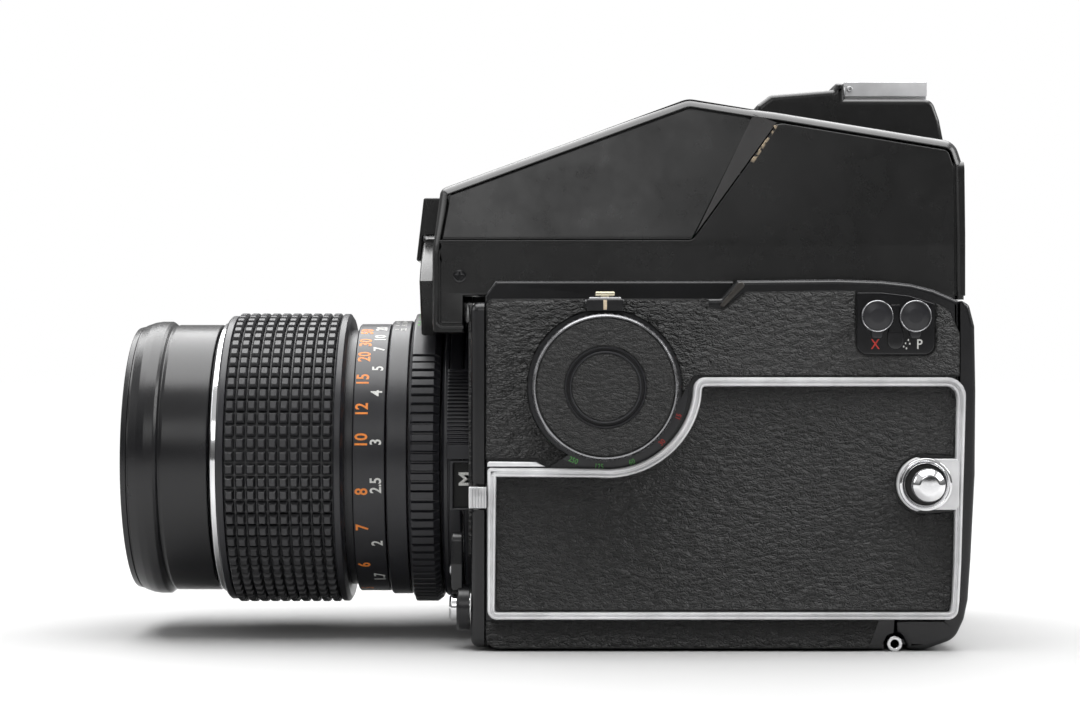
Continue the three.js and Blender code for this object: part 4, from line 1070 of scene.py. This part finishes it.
def screw(radius, height=0.5):
    """A cross-head screw on its side: its face looks along w."""
    cross = []
    arm, half = radius * 0.62, radius * 0.14
    for u, v in ((1, 0), (0, 1), (-1, 0), (0, -1)):
        cross += [(u * arm + v * half, v * arm - u * half), (u * arm - v * half, v * arm + u * half),
                  (u * half - v * half, v * half + u * half)]
    top = slab([circle(0, 0, radius, 32), cross], height * 0.3, height, 0.12, steps=2)
    return merge(top, slab([circle(0, 0, radius, 32)], 0, height * 0.35, 0))


def base():
    plate = rounded([(-40.4, -51, 4), (40.4, -51, 4), (40.4, 34, 2), (-40.4, 34, 2)], 8)
    loops = [plate, circle(0, -20, 7.3, 64), circle(18, 4, 10.3, 64)]
    part = moved(slab(loops, -2.2, 0.0, 0.4), lambda u, v, w: (u, v, -w))
    build("base_cover", part, "camera_body", COVER, ["base_plate"])
    thread = []
    for k in range(7):
        z = 0.8 + 0.8 * k
        thread += [(3.2, z), (2.85, z + 0.4)]
    bush = about_z(turned([(0, 7.4), (7, 7.4), (7, 0.1, 0.3), (3.5, 0.1, 0.2)] + thread + [(3.2, 6.4),
            (0, 6.4)], 64), 0, -20)
    build("tripod_bush", bush, "camera_body", BARE_STEEL, ["tripod_socket"])
    slot = [(12, 3.2), (24, 3.2), (24, 4.8), (12, 4.8)]
    cover = merge(slab([circle(18, 4, 10, 64), slot], -1.0, -0.1, 0.25, steps=2),
                  slab([circle(18, 4, 10, 64)], -2.2, -0.9, 0))
    build("battery_lid", moved(cover, lambda u, v, w: (u, v, -w)), "battery_cover", BLACK_METAL,
            ["battery_cover"])
    heads = [moved(screw(1.8), lambda u, v, w, x=x, y=y: (x + u, y + v, 0.55 - w))
             for x in (-36, 36) for y in (-46, 29)]
    build("base_screws", merge(*heads), "camera_body", BARE_STEEL)


def inside():
    spools = {"feed_spool": 24.2, "takeup_spool": 57.4}
    for name, z in spools.items():
        core = about_x(turned([(0, -32), (12.4, -32, 0.3), (12.4, -30.8, 0.3), (5.5, -30.8), (5.5, 30.8),
                (12.4, 30.8, 0.3), (12.4, 32, 0.3), (0, 32)], 64), 30, z)
        build(name + "_flanges", core, name, MOULDING, [name])
    finishes = {"body_shell": PAINT, "film_insert": PLASTIC, "pressure_plate": PAINT,
                "shutter_curtain": CLOTH,
                "reflex_mirror": MIRROR, "mirror_frame": DARK, "focusing_screen": SCREEN}
    for name, material in finishes.items():
        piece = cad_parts[name]
        for place in piece.material_slots:
            place.material = material
        if name in ("body_shell", "film_insert", "pressure_plate", "mirror_frame"):
            bevel = piece.modifiers.new("edges", "BEVEL")
            bevel.width = 0.3 * MM
            bevel.segments = 2
            bevel.limit_method = "ANGLE"


def body():
    covers()
    chrome_frame()
    lower_leather()
    upper_leather()
    right_side()
    left_stud()
    sync_sockets()
    shutter_dial()
    dial_index()
    front_controls()
    front_plate()
    door()
    base()
    inside()


# ---------------------------------------------------------------- finder

# The flank's half width, the height of its crease, and how far it leans in above that per millimetre:
# behind the step, and in front of it.
HALF, CREASE, TAPER, LEAN = 39.5, 88.6, 0.07, 0.1324
OUTER = [(-56.2, 68.6), (-63.0, 68.6, 2.4), (-63.0, 86.0, 1), (-61.3, 100.2, 2), (-7, 120.2, 5),
        (51.4, 110.6, 3.8), (53.0, 105.6, 3), (53.2, 75.9)]
# The corners of the wedge between the sunken front panel and the rear panel.
STEP_FOOT, STEP_FRONT, STEP_BACK = (-5.6, 90.2), (7.3, 116.6), (12.2, 114.6)
# The arch over the lens, and the eyepiece's height.
ARCH_R, EYE_Z = 35.8, 92


def leaning(part, lean):
    """Cuts a side plate across its crease and leans it in above the crease."""
    mesh = bmesh.new()
    corners = [mesh.verts.new(v) for v in part[0]]
    for face in part[1]:
        mesh.faces.new([corners[i] for i in face])
    bmesh.ops.remove_doubles(mesh, verts=mesh.verts, dist=WELD)
    for height in (CREASE - 1.2, CREASE - 0.4, CREASE + 0.4, CREASE + 1.2):
        bmesh.ops.bisect_plane(mesh, geom=mesh.verts[:] + mesh.edges[:] + mesh.faces[:],
                               plane_co=(0, 0, height), plane_no=(0, 0, 1))
    mesh.verts.index_update()
    leant = []
    for corner in mesh.verts:
        x, y, z = corner.co
        over = z - CREASE
        soft = 0 if over < -1.2 else (over if over > 1.2 else (over + 1.2) ** 2 / 4.8)
        leant.append((x - soft * at(lean, (y, z)) * x / HALF, y, z))
    faces = [tuple(v.index for v in face.verts) for face in mesh.faces]
    mesh.free()
    return leant, faces


def bead_lean(point):
    """The bead leans with the front panel, and turns to the rear panel's lean across the step."""
    share = min(1, max(0, (point[0] - 6) / 8))
    return LEAN + (TAPER - LEAN) * share * share * (3 - 2 * share)


def swept(path, section):
    """A rib along an open path: section(point) gives its corners as (depth inside the path, x)."""
    corners = [section(p) for p in path]
    lines = []
    for k in range(len(corners[0])):
        depths = {p: c[k][0] for p, c in zip(path, corners)}
        line = offset_path(path, depths.get)
        lines.append([(c[k][1], *q) for c, q in zip(corners, line)])
    rings = [list(ring) for ring in zip(*lines)]
    vertices, faces = stacked(rings)
    count = len(rings[0])
    return vertices, faces + [tuple(range(count)), tuple(range(len(vertices) - count, len(vertices)))]


def bead(path, width):
    """The rounded shoulder along the housing's outer edge, crisp on its inner side."""
    def section(point):
        reach = width(point) - 0.25
        turns = [math.radians(90 - 10 * k) for k in range(7)]
        arc = [(2 * reach * (1 - math.sin(a)), HALF - 2 * reach * (math.cos(turns[-1]) - math.cos(a)))
               for a in turns]
        return [(0, 30)] + arc + [(reach + 0.18, HALF - 0.1), (reach + 0.25, HALF - 0.35),
                (reach + 0.25, 30)]

    return leaning(swept(path, section), bead_lean)


def offset_path(path, width):
    """An open path moved to its right by width, or by width(point) along it."""
    points = []
    for i, here in enumerate(path):
        before, after = Vector(path[max(i - 1, 0)]), Vector(path[min(i + 1, len(path) - 1)])
        along = (after - before).normalized()
        reach = at(width, here)
        points.append((here[0] + along.y * reach, here[1] - along.x * reach))
    return points


def densely(path, step=2.0):
    points = [path[0]]
    for a, b in zip(path, path[1:]):
        count = max(1, round(math.dist(a, b) / step))
        points += [(a[0] + (b[0] - a[0]) * k / count, a[1] + (b[1] - a[1]) * k / count)
                   for k in range(1, count + 1)]
    return points


def rib_width(point):
    """The bead is thin up the front edge and wider over the roof and down the rear."""
    y, z = point
    if y < -56 and z < 70:
        return 1.6
    return 1.4 + 0.5 * min(1, max(0, (z - 88) / 8)) if y < 0 else 1.9


def step_wedge():
    """The sloping face between the sunken front panel and the rear panel."""
    foot, front, back = STEP_FOOT, STEP_FRONT, STEP_BACK
    heights = ((foot, LEAN), (front, LEAN), (back, TAPER))
    top = [(HALF - 0.05 - lean * (point[1] - CREASE), *point) for point, lean in heights]
    solid = stacked([[(32, y, z) for _, y, z in top], top])
    return solid[0], solid[1] + [(0, 1, 2), (3, 4, 5)]


def housing():
    path = densely(rounded(OUTER, 8, closed=False))
    inner = offset_path(path, lambda p: rib_width(p) + 0.4)
    ahead = [p for p in inner if p[1] > 89 and p[0] < 6.3]
    behind = [p for p in inner if p[0] > 12.6]
    lip = [p for p in inner if p[1] < 88.4 and p[0] < 0]
    front_panel = ahead + [(STEP_FRONT[0] - 0.35, STEP_FRONT[1] - 1.2), (STEP_FOOT[0] - 0.3,
            STEP_FOOT[1] - 0.1), (-6.6, 89.0), (ahead[0][0], 89.0)]
    flank = rounded([(*lip[-1],), (-61.5, 88.8), (-6.4, 88.75, 2), (STEP_FOOT[0] + 0.2,
            STEP_FOOT[1] - 0.3, 0.5), (STEP_BACK[0] + 0.12, STEP_BACK[1] - 0.3,
            0.4)]) + behind + [(-56.2, 76.7)] + lip[:-1]

    def flank_edge(point):
        return 0.12 if point[1] > 87 and point[0] < 13 else 0.4

    parts = [
        bead(path, rib_width),
        leaning(side_slab([front_panel], (32, HALF - 0.05), 0.15, steps=2), LEAN),
        leaning(side_slab([flank], (32, HALF), flank_edge, steps=4), TAPER),
    ]
    wedge = step_wedge()
    # The wedge wears the lighter step paint: painted light on its sloping face.
    build("finder_step", merge(wedge, flipped(wedge)), "finder", ("finder_black", STEP_PAINTED_LIGHT))
    wall = [p for p in path if p[1] > 72]
    shell = side_slab([wall + offset_path(wall, 3.0)[::-1]], (-34, 34), 0)
    sides = merge(*parts)
    build("finder_flanks", merge(sides, flipped(sides)), "finder", FINDER_BLACK, ["finder_housing"])
    build("finder_roof", shell, "finder", FINDER_BLACK)


def finder_walls():
    arch = arc(0, AXIS_Z, ARCH_R, 53, 74, 32)
    lip = [(39.2, 68.8), (39.2, 86.5), (-39.2, 86.5), (-39.2, 68.8)] + arch[::-1]
    front = front_slab([oriented(lip)], (-62.8, -56.2), 0.5, foot=0.3)
    build("finder_front_lip", front, "finder", FINDER_BLACK)
    back = rounded([(-39, 76.7), (39, 76.7), (39, 90), (38, 106.2, 2), (-38, 106.2, 2), (-39, 90)])
    rear = rear_slab([back, circle(0, EYE_Z, 10.4, 64)], (50.4, 53.2), 0.15)
    build("finder_rear_wall", rear, "finder", FINDER_BLACK)


def shoe_housing():
    def seat(top):
        return rounded([(8, 114), (10.0, 120.9, 1.5), (13.2, 123.3, 1.5), (26.6, 124.4),
                (27.4, 124.4, 0.3), (28.2, 126.0, 0.5), (30.0, 126.0, 0.4), (30.2, top), (50.1, top, 2.6),
                (51.8, 117.6, 3), (52.9, 112), (51, 104)])

    cheek = side_slab([seat(122.4)], (10.9, 14), 1.4, foot=0.04, steps=6)
    middle_seat = side_slab([seat(121.3)], (-10.9, 10.9), 0.04, foot=0.04, steps=1)
    build("shoe_seat", merge(middle_seat, cheek, flipped(cheek)), "finder", FINDER_BLACK)
    channel = rounded([(-9.5, 121.5), (9.5, 121.5), (9.5, 123.3), (10.6, 123.3), (10.6, 126.7, 0.3),
            (6.4, 126.7, 0.2), (6.4, 125.8), (9.5, 125.8), (9.5, 123.7), (-9.5, 123.7), (-9.5, 125.8),
            (-6.4, 125.8), (-6.4, 126.7, 0.2), (-10.6, 126.7, 0.3), (-10.6, 123.3), (-9.5, 123.3)], 3)
    # The shoe's channel is plating shown as light grey paint: a painted reflection.
    build("shoe_channel", front_slab([channel], (30.6, 49.4), 0.12, foot=0.12, steps=2), "finder",
            ("shoe_silver", SHOE_PAINTED_REFLECTION), ["accessory_shoe"])
    heads = [moved(screw(1.3), lambda u, v, w, x=x, y=y: (x + u, y + v, 123.55 + w))
             for x in (-5.5, 5.5) for y in (35, 45)]
    heads.append(side_slab([circle(31.6, 124.9, 0.7, 20)], (9.4, 10.9), 0.2))
    build("shoe_screws", merge(*heads), "finder", BARE_STEEL)


def finder_front():
    sector = arc(0, AXIS_Z, 51.0, 52, 76, 24) + arc(0, AXIS_Z, ARCH_R, 52, 76, 24)[::-1]
    build("meter_guard", front_slab([sector], (-66.2, -63.2), 0.6, foot=0.2), "finder", FINDER_BLACK,
            ["nose_plate"])
    arm = rounded([(-66.4, 100.2, 0.5), (-62.3, 100.2, 0.3), (-63.3, 91.5, 0.5), (-66.5, 91.4, 0.3),
            (-66.8, 85.6, 0.2), (-68.1, 85.6, 0.4)])
    build("meter_arm", side_slab([arm], (-7, 7), 0.4, foot=0.4), "meter_arm", FINDER_BLACK,
            ["coupling_arm"])


def eyepiece():
    surround = about_y(turned([(9.8, 53.2), (12.2, 53.2), (12.6, 53.8, 0.3), (12.6, 55.6, 0.3),
            (11.9, 56.2, 0.3), (10.6, 56.2, 0.2), (10.2, 55.4, 0.1), (9.8, 55.3)], 96), 0, EYE_Z)
    build("eyepiece_surround", surround, "finder", MOULDING, ["eyepiece_ring"])
    bulge = [(9.7 * k / 12, 54.9 - 0.7 * (k / 12) ** 2) for k in range(13)]
    pane = about_y(turned(bulge + [(9.7, 51.5), (0, 51.5)], 96), 0, EYE_Z)
    build("eyepiece_glass", pane, "finder", REAR_LENS, ["eyepiece_lens"])


def finder():
    housing()
    finder_walls()
    shoe_housing()
    finder_front()
    eyepiece()
    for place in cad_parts["finder_prism"].material_slots:
        place.material = REAR_GLASS
    side_screw = moved(screw(1.4, 0.35), lambda u, v, w: (HALF + w - 0.02, -57 + u, 81 + v))
    build("flank_screws", merge(side_screw, flipped(side_screw)), "finder", ("steel", GLOSS))


# ---------------------------------------------------------------- stage

def stage():
    """A sheet of light paper, 12 metres square, that fades into the white background."""
    floor = bpy.data.meshes.new("floor")
    corners = [(6 * x, 6 * y, 0) for x, y in ((-1, -1), (1, -1), (1, 1), (-1, 1))]
    floor.from_pydata(corners, [], [(0, 1, 2, 3)])
    piece = bpy.data.objects.new("floor", floor)
    bpy.context.scene.collection.objects.link(piece)
    material, tree, shader, place = start_material("floor_paper")
    far = put(tree, "ShaderNodeVectorMath", {0: place}, operation="LENGTH").outputs["Value"]
    fade = ramp(tree, far, 260, 900)
    grain = noise(tree, place, 0.02, 3)
    paper = mix_colour(tree, grain, grey(0.44), grey(0.47))
    tree.links.new(mix_colour(tree, fade, paper, (0, 0, 0, 1)), shader.inputs["Base Color"])
    tree.links.new(fade, shader.inputs["Emission Strength"])
    shader.inputs["Emission Color"].default_value = (1, 1, 1, 1)
    shader.inputs["Roughness"].default_value = 0.9
    shader.inputs["Specular IOR Level"].default_value = 0.1
    floor.materials.append(material)


def light(name, place, target, size, power):
    lamp = bpy.data.lights.new(name, "AREA")
    lamp.shape = "RECTANGLE"
    lamp.size, lamp.size_y = size
    lamp.energy = power
    holder = bpy.data.objects.new(name, lamp)
    bpy.context.scene.collection.objects.link(holder)
    holder.location = place
    holder.rotation_euler = (Vector(target) - Vector(place)).to_track_quat("-Z", "Y").to_euler()


def lights():
    """A bright room above, a dim one around that darkens behind the camera, and a plain white background."""
    world = bpy.data.worlds.new("studio")
    bpy.context.scene.world = world
    world.use_nodes = True
    tree = world.node_tree
    tree.nodes.clear()
    way = put(tree, "ShaderNodeSeparateXYZ", {0: put(tree, "ShaderNodeTexCoord").outputs["Generated"]})
    low = ramp(tree, way.outputs["Z"], -0.15, 0.1, 0.08, 0.15)
    room = sum_of(tree, low, ramp(tree, way.outputs["Z"], 0.1, 0.5, 0.0, 0.5))
    off = calc(tree, "ABSOLUTE", calc(tree, "ADD", way.outputs["Y"], 0.05))
    aside = ramp(tree, off, 0.05, 0.25, 0.0, 0.75)
    shade = calc(tree, "MULTIPLY", aside, ramp(tree, way.outputs["X"], 0.5, 0.9))
    strong = calc(tree, "MULTIPLY", room, calc(tree, "SUBTRACT", 1.0, shade))
    shown = put(tree, "ShaderNodeLightPath").outputs["Is Camera Ray"]
    strength = put(tree, "ShaderNodeMix", {0: shown, 2: strong, 3: 1.0}).outputs[0]
    background = put(tree, "ShaderNodeBackground", {"Color": (1, 1, 1, 1), "Strength": strength})
    output = put(tree, "ShaderNodeOutputWorld")
    tree.links.new(background.outputs[0], output.inputs["Surface"])
    light("top_softbox", (-0.22, -0.05, 0.9), (0, -0.03, 0.06), (1.2, 1.4), 27)
    light("side_softbox", (1.15, -0.16, 0.55), (0, -0.03, 0.08), (0.5, 0.35), 0.9)
    light("rear_softbox", (0.1, 0.9, 0.6), (0, 0, 0.06), (0.5, 0.5), 5)
    light("front_softbox", (0.0, -1.0, 0.5), (0, -0.05, 0.06), (0.5, 0.5), 1.6)
    bpy.context.scene.view_settings.view_transform = "Standard"


# The viewing camera, in metres: it looks along -X.
CAMERA_PLACE, CAMERA_LENS, SENSOR_WIDTH = (0.562, -0.0395, 0.0627), 80, 36


def camera():
    lens_data = bpy.data.cameras.new("camera")
    lens_data.lens = CAMERA_LENS
    lens_data.sensor_width = SENSOR_WIDTH
    holder = bpy.data.objects.new("camera", lens_data)
    bpy.context.scene.collection.objects.link(holder)
    holder.location = CAMERA_PLACE
    holder.rotation_euler = (math.pi / 2, 0, math.pi / 2)
    bpy.context.scene.camera = holder


camera()
lens()
body()
finder()
stage()
lights()
